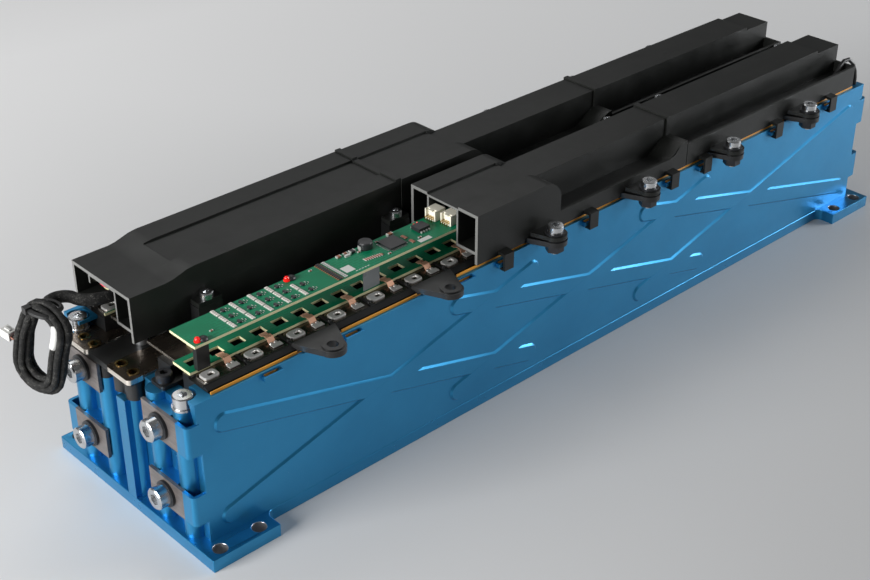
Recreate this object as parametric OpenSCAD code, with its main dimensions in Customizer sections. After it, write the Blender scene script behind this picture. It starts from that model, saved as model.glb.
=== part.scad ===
// Hybrid car battery: two rows of flat cells between folded side plates on one base plate.
// X runs along the rows, Y across them, Z up. The origin is at the middle of the underside.

/* [Cells] */
// Cells in each row
cell_count = 40; // [20:2:60]
// Distance from one cell to the next
cell_pitch = 14.3; // [12:0.05:18]
// Thickness of the separator between two cells
spacer_thick = 0.55; // [0.3:0.05:1.5]
// Width of a cell across the row
cell_width = 54.4; // [52:0.2:70]
// Height of a cell can
cell_height = 77; // [76:1:78]
// Distance from the middle of a cell to either terminal
terminal_reach = 14.5; // [13.5:0.1:14.8]
// Diameter of a terminal stud
stud_d = 7; // [5:0.5:9]

/* [Base plate] */
// Thickness of the base plate
base_thick = 8; // [5:0.5:14]
// Length of each corner ear along X
ear_length = 45; // [40:1:80]
// How far each ear stands out from the body
ear_depth = 13.5; // [12:0.5:25]
// Diameter of the fixing holes
base_hole_d = 8.4; // [5:0.2:9]
// Distance between the two holes of an ear
base_hole_spacing = 26; // [16:1:28]
// Distance from the end of the base to the outer hole
base_hole_inset = 9; // [7:0.5:12]

/* [Frame] */
// Thickness of the plate between the rows
centre_thick = 8; // [6:0.5:12]
// Height of the centre plate's cut-down ends
centre_end_height = 66; // [50:1:75]
// Thickness of the side sheets
sheet_thick = 2; // [1.5:0.1:3]
// Height of the side sheets
sheet_height = 90; // [88:1:96]
// Height of each folded tab
tab_height = 19; // [14:0.5:20]
// Height of the lower tab above the base plate
tab_low = 14; // [10:0.5:22]
// Height of the upper tab above the base plate
tab_high = 58.5; // [44:0.5:60]
// Outer radius of the tab's fold
fold_radius = 3; // [2.5:0.5:5]
// Thickness of the end blocks
block_thick = 9; // [8:0.5:12]
// Height of the end blocks
block_height = 81.8; // [80:0.2:83]
// Diameter of the round columns
column_d = 12; // [10:0.5:13]
// Distance of the inner column from the middle
column_inner = 25; // [22:0.5:27]
// Distance of the outer column from the middle
column_outer = 49.5; // [48:0.5:51]

/* [Side plate embossing] */
// Crossed ribs on each side plate
cross_count = 3; // [1:1:4]
// Distance from one cross to the next
cross_pitch = 168; // [150:1:180]
// Half the length of a rib, measured along X
cross_reach = 115; // [80:1:118]
// How far a rib climbs from the middle to its end
cross_rise = 30; // [20:1:30]
// Width of a rib at its foot
rib_width = 12.4; // [8:0.2:14]
// How far a rib stands out
rib_height = 1.2; // [0.6:0.1:1.6]

/* [Top] */
// Thickness of the bus bars
bar_thick = 1.5; // [1:0.1:2]
// Width of a bus bar
bar_width = 11.6; // [10:0.2:12]
// Thickness of the circuit boards
board_thick = 1.6; // [1:0.2:2]
// Height of the control board above the sensing board
board_rise = 14.2; // [12:0.2:15]
// Width of the control boards
control_width = 22.6; // [16:0.2:22.8]
// Length of the control boards
control_length = 220; // [210:1:240]
// Length of the terminal plates past the cells
terminal_overhang = 20.5; // [19:0.5:23]
// Thickness of the terminal plates
terminal_thick = 3; // [2:0.5:3]
// Tapping diameter of the terminal inserts
terminal_bore = 5; // [4:0.1:5.5]

/* [Covers] */
// Wall of the covers
cover_wall = 2; // [1.5:0.1:2.5]
// Height of the covers' ducts above their seat
cover_height = 32.2; // [30:0.2:40]
// Height of the lip beside an open gutter
lip_height = 10.4; // [9.4:0.2:14]
// How much higher the lip of the far covers is
far_lip_rise = 5.2; // [0:0.2:8]
// Height of the flare where a gutter meets the next cover
flare_rise = 7.8; // [6:0.2:10]
// How far the near end of the left cover's roof is lowered
low_roof = 3.8; // [0.5:0.1:4]
// How far a seam band stands proud
band_proud = 1.2; // [0.6:0.1:2]
// Height of the gutter floor
gutter_height = 8.2; // [7.4:0.2:9]
// Width of the raised channel
channel_width = 26.4; // [26:0.2:28]
// Gap between two covers
cover_gap = 0.6; // [0.3:0.1:2]

/* [Fasteners] */
// Thread of the tab screws
tab_screw_d = 8; // [6:1:8]
// Thread of the cover bolts
cover_bolt_d = 6; // [4:1:6]
// Distance of the cover lugs' holes outside the side plates
lug_reach = 9; // [8.5:0.5:12]
// Distance from one cover lug to the next
lug_pitch = 86.4; // [80:0.2:95]

/* [Hidden] */
$fn = 48;
eps = 0.01;

// Clearances
slip = 0.2;
face_gap = 0.1;
liner_thick = 0.5;
pad_thick = 1.6;
floor_thick = 1;

// Plan of a row, as distances from the middle of the battery
stack_half = cell_count * cell_pitch / 2;
cell_thick = cell_pitch - spacer_thick;
centre_half = centre_thick / 2;
cell_in = centre_half + 1;
cell_out = cell_in + cell_width;
cell_mid = (cell_in + cell_out) / 2;
liner_in = cell_out + slip;
sheet_in = liner_in + liner_thick + slip;
sheet_out = sheet_in + sheet_thick;
block_in = stack_half + pad_thick + slip;
block_out = block_in + block_thick;
column_x = block_out + 1.1;
tab_in = column_x + column_d / 2 + face_gap;
frame_half = tab_in + sheet_thick;
sheet_half = tab_in - 6.5;
base_half_width = sheet_out + slip;
carrier_half = block_in - slip;
screw_row = (column_inner + column_outer) / 2;

// Heights
cell_floor = base_thick + floor_thick;
cell_top = cell_floor + cell_height;
carrier_floor = cell_top + slip;
bar_seat = cell_top + 12;
bar_top = bar_seat + bar_thick;
sheet_top = base_thick + sheet_height;
block_top = base_thick + block_height;
column_top = block_top + 0.4;
sensing_top = bar_top + face_gap + board_thick;
control_top = sensing_top + board_rise + board_thick;
// The rails and lugs clear both the bars and the side sheets
deck_level = max(bar_seat, sheet_top);
rail_top = deck_level + 0.3;
liner_top = rail_top + 1.2;
cover_seat = liner_top + 0.3;
cover_top = cover_seat + cover_height;
lip_top = cover_seat + lip_height;
gutter_top = cover_seat + gutter_height;
deck_floor = cell_top + slip;
terminal_floor = deck_floor + 1.2;
terminal_top = terminal_floor + terminal_thick;
lug_floor = deck_level + 0.4;
lug_top = lug_floor + 4.2;
pillar_top = lug_top + 7;

// Covers: three along each row
cover_start = -stack_half - 5;
cover_end = stack_half;
cover_step = (cover_end - cover_start) / 3;
function cover_from(i) = cover_start + i * cover_step + (i > 0 ? cover_gap / 2 : 0);
function cover_to(i) = cover_start + (i + 1) * cover_step - (i < 2 ? cover_gap / 2 : 0);
duct_end = cover_from(1) + cover_step * 0.3;
cover_in = centre_half + 0.3;
cover_out = sheet_in + 0.7;
channel_mid = (cover_in + cover_out) / 2 - 1.2;
channel_in = channel_mid - channel_width / 2;
channel_out = channel_mid + channel_width / 2;
channel_skin = 1.4;
// Places of the clips and valley bolts, as shares of a cover's length from its middle
clip_shares = [[-0.29, 0.445], [-0.39, 0.41], [-0.413, 0.335]];
function cover_mid(i) = cover_start + (i + 0.5) * cover_step;
function clip_places(i) = [for (share = clip_shares[i]) cover_mid(i) + share * cover_step];
function valley_places(i) = [for (share = [-0.265, 0.455]) cover_mid(i) + share * cover_step];

function cell_x(i) = -stack_half + (i + 0.5) * cell_pitch;
function outer_bar_x(i) = (cell_x(2 * i) + cell_x(2 * i + 1)) / 2;
function inner_bar_x(i) = (cell_x(2 * i + 1) + cell_x(2 * i + 2)) / 2;
bar_count = floor(cell_count / 2);
bar_length = 2 * cell_pitch - 2.6;
outer_line = cell_mid + terminal_reach;
inner_line = cell_mid - terminal_reach;
lug_places = [for (i = [-2.5 : 1 : 2.5]) i * lug_pitch];
lug_line = sheet_out + lug_reach;
valley_line = 0.1;

module on_side(side) {
    mirror([0, side < 0 ? 1 : 0, 0]) children();
}

module both_ends() {
    children();
    mirror([1, 0, 0]) children();
}

module box(x0, x1, y0, y1, z0, z1) {
    translate([x0, y0, z0]) cube([x1 - x0, y1 - y0, z1 - z0]);
}

// A flat plate with rounded corners, between two heights
module round_plate(x0, x1, y0, y1, z0, z1, r) {
    translate([0, 0, z0]) linear_extrude(z1 - z0) {
        translate([x0 + r, y0]) square([x1 - x0 - 2 * r, y1 - y0]);
        translate([x0, y0 + r]) square([x1 - x0, y1 - y0 - 2 * r]);
        for (x = [x0 + r, x1 - r], y = [y0 + r, y1 - r]) translate([x, y]) circle(r);
    }
}

module peg(x, y, z0, z1, d) {
    translate([x, y, z0]) cylinder(d = d, h = z1 - z0);
}

// A profile drawn in Y and Z, run along X
module run(x0, x1) {
    translate([x0, 0, 0]) rotate([90, 0, 90]) linear_extrude(x1 - x0) children();
}

// Base plate with four ears and their fixing holes
ear_fillet = 5;
base_ear_y = base_half_width + ear_depth;
base_hole_y = base_half_width + ear_depth - 6.3;
module ear_outline() {
    from_x = frame_half - ear_length;
    translate([from_x, 0]) square([ear_length, base_ear_y]);
    difference() {
        translate([from_x - ear_fillet, base_half_width - 1]) square([ear_fillet, ear_fillet + 1]);
        translate([from_x - ear_fillet, base_half_width + ear_fillet]) circle(ear_fillet);
    }
}
module base_plate() {
    color("#1f6aa5") difference() {
        linear_extrude(base_thick) {
            translate([-frame_half, -base_half_width]) square([2 * frame_half, 2 * base_half_width]);
            for (a = [0, 1], b = [0, 1]) mirror([a, 0]) mirror([0, b]) ear_outline();
        }
        for (sx = [-1, 1], sy = [-1, 1], k = [0, 1]) {
            peg(sx * (frame_half - base_hole_inset - k * base_hole_spacing), sy * base_hole_y,
                -1, base_thick + 1, base_hole_d);
        }
    }
}

// Plate between the rows, with a round column on each cut-down end
module centre_plate() {
    end_top = base_thick + centre_end_height;
    color("#1f6aa5") {
        box(-block_in, block_in, -centre_half, centre_half, base_thick, cell_top - 1);
        both_ends() {
            box(block_in - eps, frame_half, -centre_half, centre_half, base_thick, end_top);
            peg(column_x, 0, base_thick, end_top, column_d);
        }
    }
}

// Raised rib on the side plate: a ridge with sloping flanks and round ends
rib_slope_length = sqrt(cross_reach * cross_reach + cross_rise * cross_rise);
module rib(grow, high, sink) {
    top = rib_width / 2 - high + grow;
    foot = rib_width / 2 + grow;
    rotate([90, 0, 90]) translate([0, 0, -rib_slope_length]) linear_extrude(2 * rib_slope_length)
        polygon([[-sink, -foot], [0, -foot], [high, -top], [high, top], [0, foot], [-sink, foot]]);
    for (end = [-1, 1]) translate([end * rib_slope_length, 0, 0]) rotate([-90, 0, 0]) {
        translate([0, 0, -sink]) cylinder(r = foot, h = sink);
        cylinder(r1 = foot, r2 = top, h = high);
    }
}
module ribs(grow) {
    tilt = atan2(cross_rise, cross_reach);
    for (i = [0 : cross_count - 1], turn = [-1, 1]) {
        translate([(i - (cross_count - 1) / 2) * cross_pitch, 0, base_thick + tab_low + 28])
            rotate([0, turn * tilt, 0]) rib(grow, rib_height - (turn > 0 ? 0.05 : 0), turn > 0 ? 0.4 : 0.5);
    }
}

// Folded tab of a side plate, drawn from above
module tab_outline() {
    r = fold_radius;
    translate([sheet_half - 1, sheet_in]) square([frame_half - r - sheet_half + 1, sheet_thick]);
    translate([tab_in, column_inner - 3.5]) square([sheet_thick, sheet_out - r - column_inner + 3.5]);
    intersection() {
        translate([frame_half - r, sheet_out - r]) difference() {
            circle(r);
            circle(r - sheet_thick);
        }
        translate([frame_half - r, sheet_out - r]) square(r);
    }
}
lance_z = sheet_top - 3;
lance_half = 6.5;
lance_out = 2.6;
module lance_strap(x) {
    difference() {
        box(x - lance_half, x + lance_half, sheet_out - eps, sheet_out + lance_out, lance_z - 1.2, lance_z + 1.2);
        box(x - lance_half + 1.4, x + lance_half - 1.4, sheet_out - 1, sheet_out + lance_out - 1.1,
            lance_z - 2, lance_z + 2);
    }
}
// Every place along a side plate that takes a cover's clip
function all_clips() = [for (i = [0 : 2]) each concat(clip_places(i), [cover_mid(i)])];
notch_d = 14.2;
screw_flange_d = 12.4;
// The left near corner's screw stands behind the terminal plate, the others on their columns
function outer_screw(side, end) = side > 0 && end < 0 ? [column_x - 2, column_outer + 3.9] : [column_x, column_outer];
module corner_flange(side, end) {
    flange_end = column_x + 1.6;
    at = outer_screw(side, end);
    difference() {
        union() {
            box(carrier_half + 0.2, flange_end, screw_row + 9, sheet_in + eps, sheet_top - sheet_thick, sheet_top);
            translate([sheet_half - eps, 0, 0]) rotate([90, 0, 90]) linear_extrude(flange_end - sheet_half + eps)
                polygon([[sheet_out, sheet_top], [sheet_in - 3.5, sheet_top], [sheet_in, sheet_top - 12],
                         [sheet_out, sheet_top - 12]]);
        }
        peg(at[0], at[1], min(block_top, sheet_top - sheet_thick) - 1, sheet_top + 1, at[0] < column_x ? screw_flange_d + 0.8 : notch_d);
    }
}
module side_plate(side) {
    color("#1f6aa5") on_side(side) difference() {
        union() {
            box(-sheet_half, sheet_half, sheet_in, sheet_out, base_thick, sheet_top);
            for (end = [-1, 1]) mirror([end < 0 ? 1 : 0, 0, 0]) {
                for (low = [tab_low, tab_high]) {
                    translate([0, 0, base_thick + low]) linear_extrude(tab_height) tab_outline();
                }
                corner_flange(side, end);
            }
            translate([0, sheet_out, 0]) ribs(0);
            for (x = all_clips()) lance_strap(x);
        }
        translate([0, sheet_in - eps, 0]) ribs(-1);
        for (x = all_clips()) {
            box(x - lance_half + 1.4, x + lance_half - 1.4, sheet_in - 1, sheet_out + 0.5,
                lance_z - 1.8, lance_z + 1.8);
        }
        for (end = [-1, 1], low = [tab_low, tab_high]) {
            translate([end * (tab_in - 2), screw_row, base_thick + low + tab_height / 2])
                rotate([0, end * 90, 0]) cylinder(d = tab_screw_d + 0.6, h = 8);
        }
    }
}

// End block of one row: a plate with two round columns and four screw pads
recess_floor = deck_floor - slip;
boss_floor = base_thick + centre_end_height + 1;
function recess_reach(side) = side > 0 ? second_out + 0.5 : terminal_out + 1;
module end_block(side, end) {
    at = outer_screw(side, end);
    color("#1b5f97") on_side(side) mirror([end < 0 ? 1 : 0, 0, 0]) difference() {
        union() {
            box(block_in, block_out, centre_half + slip, sheet_in - slip, base_thick, block_top);
            for (y = [column_inner, column_outer]) peg(column_x, y, base_thick, column_top, column_d);
            peg(at[0], at[1], base_thick + tab_high, column_top, column_d);
            for (low = [tab_low, tab_high]) {
                box(block_out - eps, tab_in, column_inner + 4, column_outer - 4,
                    base_thick + low, base_thick + low + tab_height);
            }
        }
        peg(column_x, 0, 0, column_top, column_d + 2 * slip);
        for (low = [tab_low, tab_high]) {
            translate([tab_in - 14, screw_row, base_thick + low + tab_height / 2])
                rotate([0, 90, 0]) cylinder(d = tab_screw_d, h = 20);
        }
        peg(at[0], at[1], column_top - 20, column_top + 1, 6);
        if (end > 0 || side < 0) peg(carrier_screw_x, column_inner, block_top - 12, column_top + 1, 5);
        if (end < 0) difference() {
            box(block_in - 1, frame_half, 0, recess_reach(side), recess_floor, column_top + 1);
            if (side > 0) peg(at[0], at[1], recess_floor - 1, column_top + 2, column_d);
        }
        // Room for the black bosses that carry the terminal plates
        if (end < 0) box(block_in - 1, frame_half, 0, boss_reach, boss_floor - slip, column_top + 1);
        if (end < 0 && side > 0) {
            box(block_in - 1, frame_half, column_inner - column_d / 2 - 0.4, column_inner + column_d / 2 + 0.4,
                boss_floor - slip, column_top + 1);
        }
    }
}
carrier_screw_x = block_in + 4.8;

// Socket screw that points along -Z, with its head's underside at the origin
module socket_screw(d, head_d, head_h, length, key) {
    difference() {
        union() {
            translate([0, 0, -length]) cylinder(d = d, h = length + eps);
            cylinder(d = head_d, h = head_h - 0.6);
            translate([0, 0, head_h - 0.6]) cylinder(d1 = head_d, d2 = head_d - 1.2, h = 0.6);
        }
        translate([0, 0, head_h - key * 0.55]) cylinder(d = key / cos(30), h = key, $fn = 6);
    }
}
washer_h = 1.6;
module at_tab_screws() {
    for (sx = [-1, 1], sy = [-1, 1], low = [tab_low, tab_high]) {
        translate([sx * frame_half, sy * screw_row, base_thick + low + tab_height / 2])
            rotate([0, sx * 90, 0]) children();
    }
}
module tab_screws() {
    color("#c8ccd0") at_tab_screws() translate([0, 0, washer_h])
        socket_screw(tab_screw_d - 0.4, tab_screw_d * 1.62, tab_screw_d * 0.85, 14.6, tab_screw_d * 0.75);
}
module tab_washers() {
    color("#3a3d40") at_tab_screws() difference() {
        cylinder(d = tab_screw_d * 1.95, h = washer_h);
        translate([0, 0, -1]) cylinder(d = tab_screw_d + 0.4, h = 4);
    }
}
module column_screws() {
    color("#c8ccd0") for (sx = [-1, 1], sy = [-1, 1]) {
        at = outer_screw(sy, sx);
        translate([sx * at[0], sy * at[1], column_top]) {
            cylinder(d = screw_flange_d, h = 1.3);
            translate([0, 0, 1.3 - eps]) socket_screw(5.8, 11.2, 6.4, 17, 5);
        }
    }
}
module carrier_screws() {
    color("#202224") for (place = [[-1, -1], [1, -1], [1, 1]]) {
        translate([place[0] * carrier_screw_x, place[1] * column_inner, foot_top])
            socket_screw(4.8, 9.4, 5, 9, 4);
    }
}

// Insulation and cells
module floor_sheets() {
    color("#1c1c1e") for (side = [-1, 1]) on_side(side)
        box(-stack_half, stack_half, cell_in - 0.4, cell_out, base_thick, cell_floor);
}
module cells(side) {
    color("#b9bcc0") on_side(side) for (i = [0 : cell_count - 1]) {
        box(cell_x(i) - cell_thick / 2, cell_x(i) + cell_thick / 2, cell_in, cell_out, cell_floor, cell_top);
        for (y = [inner_line, outer_line]) peg(cell_x(i), y, cell_top - eps, bar_seat, stud_d);
    }
}
module cell_spacers(side) {
    color("#2a2a2c") on_side(side) for (i = [0 : cell_count - 2]) {
        middle = (cell_x(i) + cell_x(i + 1)) / 2;
        box(middle - spacer_thick / 2, middle + spacer_thick / 2, cell_in + 0.5, cell_out - 0.5, cell_floor, cell_top - 1);
    }
}
module end_pads() {
    color("#1c1c1e") for (side = [-1, 1]) on_side(side) both_ends()
        box(stack_half, stack_half + pad_thick, cell_in, cell_out, base_thick, cell_top - 2.5);
}
module side_liner(side) {
    color("#f09a1c") on_side(side)
        difference() {
            box(-carrier_half, carrier_half, liner_in, liner_in + liner_thick, base_thick, liner_top);
            for (x = lug_places) box(x - 15.4, x + 15.4, liner_in - 1, liner_in + 2, lug_floor - slip, liner_top + 1);
        }
}

// Moulded carrier over the cells: bar seats, rails, lugs and valley pillars
bar_clear = 0.3;
seat_out = outer_line + bar_width / 2 + 0.9;
seat_in = outer_line - bar_width / 2 - bar_clear;
carrier_in = centre_half + 0.4;
carrier_out = liner_in - 0.1;
rail_in = inner_line - bar_width / 2 - 0.4;
board_in = inner_line - 3.5;
board_out = seat_in;
ledge_in = seat_in - 5.4;
inner_seat_out = inner_line + bar_width / 2 + 0.4;
terminal_in = -centre_half - 6.6;
terminal_out = centre_half + 7.4;
second_in = terminal_out + 18.4;
second_out = second_in + 20.4;
second_neck = second_in + 9;
pocket_end = cell_x(0) + cell_pitch / 2 + 1.6;
foot_top = block_top + 2.4;
arm_top = max(foot_top, carrier_floor + 3);
foot_half = 6;
foot_web = 1.1;
module outer_rail() {
    run(-carrier_half, carrier_half) polygon([
        [ledge_in, carrier_floor], [carrier_out, carrier_floor], [carrier_out, rail_top],
        [carrier_out - 1.3, rail_top], [carrier_out - 1.3, rail_top - 1], [carrier_out - 2, rail_top - 1],
        [carrier_out - 2, rail_top + 0.6], [seat_out + 0.9, bar_top + 0.9], [seat_out + 0.9, bar_top - 0.4],
        [seat_out + 0.3, bar_top - 0.4], [seat_out + 0.3, bar_top + 0.6], [seat_out - 0.6, bar_top + 0.6],
        [seat_out - 0.6, bar_seat], [seat_in, bar_seat], [seat_in - 0.3, sensing_top - board_thick],
        [ledge_in, sensing_top - board_thick]]);
}
module inner_rail() {
    run(-carrier_half, carrier_half) polygon([
        [carrier_in, carrier_floor], [inner_seat_out, carrier_floor], [inner_seat_out, bar_seat],
        [rail_in, bar_seat], [rail_in, liner_top], [carrier_in, liner_top]]);
}
module link_notch() {
    box(link_row_x - 5.4, link_row_x + 5.4, -9, rail_in + 1, bar_seat, bar_top + 0.8);
}
module lug(x) {
    root = carrier_out - 4.6;
    difference() {
        union() {
            translate([x, 0, lug_floor]) linear_extrude(lug_top - lug_floor - 0.8) {
                polygon([[-15, root], [15, root], [13, carrier_out + 0.6], [6, lug_line + 4.4],
                         [-6, lug_line + 4.4], [-13, carrier_out + 0.6]]);
                translate([0, lug_line]) circle(7.6);
            }
            peg(x, lug_line, lug_floor, lug_top, 12.4);
        }
        peg(x, lug_line, lug_floor - 1, lug_top + 1, cover_bolt_d + 0.6);
    }
}
module pillar(x) {
    difference() {
        box(x - 8, x + 8, -centre_half + 0.5, carrier_in + 1, carrier_floor, pillar_top);
        peg(x, valley_line, pillar_top - 14, pillar_top + 1, cover_bolt_d - 0.4);
    }
}
module carrier(side) {
    color("#1d1e20") on_side(side) difference() {
        union() {
            box(-carrier_half, carrier_half, carrier_in, carrier_out, carrier_floor, carrier_floor + 3);
            outer_rail();
            inner_rail();
            for (x = lug_places) lug(x);
            for (i = [1 : bar_count - 1]) {
                gap_x = (outer_bar_x(i - 1) + outer_bar_x(i)) / 2;
                box(gap_x - 0.9, gap_x + 0.9, seat_in, seat_out - 0.5, bar_seat - 1, bar_top + 0.5);
                peg(gap_x, outer_line + 2.6, bar_seat - 1, bar_top + 1.6, 2);
            }
            if (side > 0) {
                for (i = [0 : 2], x = valley_places(i)) pillar(x);
            }
            both_ends() {
                // Foot on the end block, with two webs up or down to the carrier
                round_plate(block_in, carrier_screw_x + 5.2, column_inner - foot_half, column_inner + foot_half,
                            column_top, foot_top, 2);
                box(carrier_half, block_in + 3, column_inner - foot_half, column_inner + foot_half, column_top, foot_top);
                box(carrier_half - 4, carrier_half, column_inner - foot_half, column_inner + foot_half,
                    carrier_floor, arm_top);
                for (y = [column_inner - foot_half, column_inner + foot_half - foot_web])
                    box(carrier_half, block_in + 7, y, y + foot_web, column_top, arm_top);
            }
        }
        for (i = [0 : cell_count - 1], y = [inner_line, outer_line]) {
            peg(cell_x(i), y, carrier_floor - 1, bar_seat + 1, stud_d + 0.6);
        }
        both_ends() peg(carrier_screw_x, column_inner, block_top - 1, foot_top + 9, 5.4);
        link_notch();
        box(-frame_half, pocket_end, -9, side < 0 ? terminal_out + 0.6 : second_neck + 0.6,
            min(deck_floor, column_top) - 1, pillar_top);
    }
}

// Bus bars, weld discs and sense tabs
module bus_bar(x, line) {
    round_plate(x - bar_length / 2, x + bar_length / 2, line - bar_width / 2, line + bar_width / 2, bar_seat, bar_top, 3.2);
}
module outer_bars(side) {
    color("#8f8578") on_side(side) for (i = [0 : bar_count - 1]) bus_bar(outer_bar_x(i), outer_line);
}
module inner_bars(side) {
    color("#8f8578") on_side(side) for (i = [0 : bar_count - 2]) bus_bar(inner_bar_x(i), inner_line);
}
// Strap that joins the two rows at the far end
link_row_x = cell_x(cell_count - 1);
module row_link() {
    reach = inner_line + bar_width / 2;
    color("#8f8578") round_plate(link_row_x - 5, link_row_x + 5, -reach, reach, bar_seat, bar_top, 3);
}
disc_d = 8;
module terminal_discs() {
    color("#d5d0c8") for (side = [-1, 1]) on_side(side) for (i = [0 : bar_count - 1]) {
        translate([outer_bar_x(i) - cell_pitch / 2, outer_line, bar_top]) difference() {
            cylinder(d = disc_d, h = 0.9);
            translate([0, 0, 0.4]) cylinder(d1 = disc_d - 4, d2 = disc_d - 2.4, h = 0.6);
        }
    }
}
tab_w = 4.4;
module sense_tab(x) {
    lift = sensing_top + 0.8;
    run(x - tab_w / 2, x + tab_w / 2) polygon([
        [outer_line + 1.8, bar_top], [outer_line + 1.8, bar_top + 0.4], [outer_line - 2.4, bar_top + 0.4],
        [outer_line - 4.2, lift + 0.4], [board_out - 1, lift + 0.4],
        [board_out - 2.4, sensing_top + 0.4], [board_out - 5, sensing_top + 0.4], [board_out - 5, sensing_top],
        [board_out - 2.6, sensing_top], [board_out - 1.2, lift], [outer_line - 4.5, lift],
        [outer_line - 2.7, bar_top]]);
}
module sense_tabs() {
    color("#c98a5c") for (side = [-1, 1]) on_side(side)
        for (i = [0 : bar_count - 1]) sense_tab(outer_bar_x(i) + cell_pitch / 2);
}

// Circuit boards and the parts on them
window_w = 8;
module sensing_board(side) {
    color("#0f7a4a") on_side(side) difference() {
        box(-carrier_half + 1, carrier_half - 1, board_in, board_out, sensing_top - board_thick, sensing_top);
        for (i = [0 : cell_count - 1]) {
            box(cell_x(i) - window_w / 2, cell_x(i) + window_w / 2, cell_mid - 3.2, cell_mid + 3.2, 0, control_top);
        }
        box(-carrier_half, riser_x + 0.5, 0, side < 0 ? inner_line + 7.5 : second_neck + 1, 0, control_top);
    }
}
control_mid = channel_mid;
control_from = -stack_half + 2.4;
control_floor = control_top - board_thick;
module control_board(side) {
    color("#12935a") on_side(side)
        box(control_from, control_from + control_length, control_mid - control_width / 2,
            control_mid + control_width / 2, control_floor, control_top);
}
standoff_w = 8;
standoff_t = 3.4;
module board_standoffs() {
    edge = control_mid + control_width / 2;
    color("#1a1a1c") for (side = [-1, 1]) on_side(side)
        for (x = [control_from + standoff_w / 2 + 1 + (side > 0 ? 26 : 0), control_from + control_length - 8]) {
            box(x - standoff_w / 2, x + standoff_w / 2, edge - standoff_t - 0.4, edge - 0.4, sensing_top, control_floor);
        }
}
// Thin flat cable that joins the two boards of the right row
link_x = control_from + control_length * 0.53;
module board_link() {
    edge = control_mid + control_width / 2;
    color("#9aa0a4") on_side(-1)
        box(link_x, link_x + 12, edge - 3.6, edge - 3.2, sensing_top, control_floor);
}
module on_control(x, y) {
    on_side(-1) translate([control_from + x, control_mid - control_width / 2 + y, control_top]) children();
}
module microcontroller() {
    color("#222326") on_control(146, 10.6) {
        translate([-6, -6, 0.2]) cube([12, 12, 1.3]);
        translate([-5, -5, 0]) cube([10, 10, 0.2 + eps]);
        for (turn = [0 : 90 : 270], i = [-5 : 5]) rotate([0, 0, turn])
            translate([i - 0.2, 5.9, 0]) cube([0.4, 1.5, 0.3]);
    }
}
module capacitor() {
    color("#17181a") on_control(132, 4) {
        translate([-3.4, -3.4, 0]) cube([6.8, 6.8, 1]);
        cylinder(d = 6.4, h = 6);
    }
}
module board_connectors() {
    color("#e9e4d2") for (p = [[186, 4.2], [189, 15]]) on_control(p[0], p[1]) difference() {
        translate([-4.5, -3, 0]) cube([9, 6, 5]);
        translate([-3.7, -2.2, 1]) cube([7.4, 4.4, 5]);
    }
}
module driver_chips() {
    color("#26272a") {
        on_control(171, 9) translate([-4, -3.2, 0]) cube([8, 6.4, 1.7]);
        on_control(102, 10.8) translate([-1.5, -9.6, 0]) cube([3, 19.2, 1.4]);
    }
}
module resistor_strips() {
    color("#d9d4c8") for (column = [0 : 4], row = [0 : 2]) {
        if (column < 4 || row < 2) on_control(29 + column * 12.1, 4.4 + row * 6.4)
            translate([-1, -2.6, 0]) cube([2, 5.2, 0.7]);
    }
}
module status_leds() {
    color("#d0201c") for (p = [[5, 18.6], [86, 2.6], [168, 2.4]]) on_control(p[0], p[1]) {
        cylinder(d = 3, h = 2);
        translate([0, 0, 2]) sphere(d = 3);
    }
}

// Terminal plates with threaded inserts, and the moulded carrier beneath them
terminal_front = -stack_half - terminal_overhang;
hole_line = terminal_front + 7.4;
right_holes = [-centre_half - 1, centre_half + 2.2];
left_holes = [second_in + 3.2, second_in + 13.2];
riser_x = pocket_end - 1;
terminal_bend = -stack_half + 2.5;
terminal_insert_d = 7;
module terminal_link(y0, y1, neck0, neck1) {
    box(riser_x - 2, riser_x, neck0, neck1, terminal_floor, bar_top);
    box(cell_x(0) - 5, riser_x, y0, y1, bar_seat, bar_top);
}
module terminal_plate_right() {
    color("#6d6258") difference() {
        union() {
            round_plate(terminal_front, terminal_bend, -terminal_out, -terminal_in, terminal_floor, terminal_top, 2.5);
            box(terminal_bend - 4, riser_x, -terminal_out + 8.6, -terminal_in - 1, terminal_floor, terminal_top);
            terminal_link(-inner_line - bar_width / 2, centre_half - 0.4, 8.6 - terminal_out, centre_half - 0.4);
        }
        for (y = right_holes) peg(hole_line, y, terminal_floor - 1, terminal_top + 1, terminal_insert_d + 0.2);
    }
}
module terminal_plate_left() {
    at = outer_screw(1, -1);
    color("#6d6258") difference() {
        union() {
            round_plate(terminal_front, -block_in - 0.2, second_in, second_out, terminal_floor, terminal_top, 2.5);
            box(-block_in - 4, riser_x, second_in, second_neck, terminal_floor, terminal_top);
            terminal_link(inner_line - bar_width / 2, second_neck, second_in, second_neck);
        }
        for (y = left_holes) peg(hole_line, y, terminal_floor - 1, terminal_top + 1, terminal_insert_d + 0.2);
        peg(-at[0], at[1], terminal_floor - 1, terminal_top + 1, screw_flange_d + 0.6);
    }
}
module terminal_inserts() {
    color("#b08d4a") for (y = concat(right_holes, left_holes)) difference() {
        peg(hole_line, y, terminal_floor - 1, terminal_top + 0.3, terminal_insert_d);
        peg(hole_line, y, terminal_floor - 2, terminal_top + 1, terminal_bore);
    }
}
boss_d = 10.4;
boss_reach = right_holes[1] + boss_d / 2 + 0.4;
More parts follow.
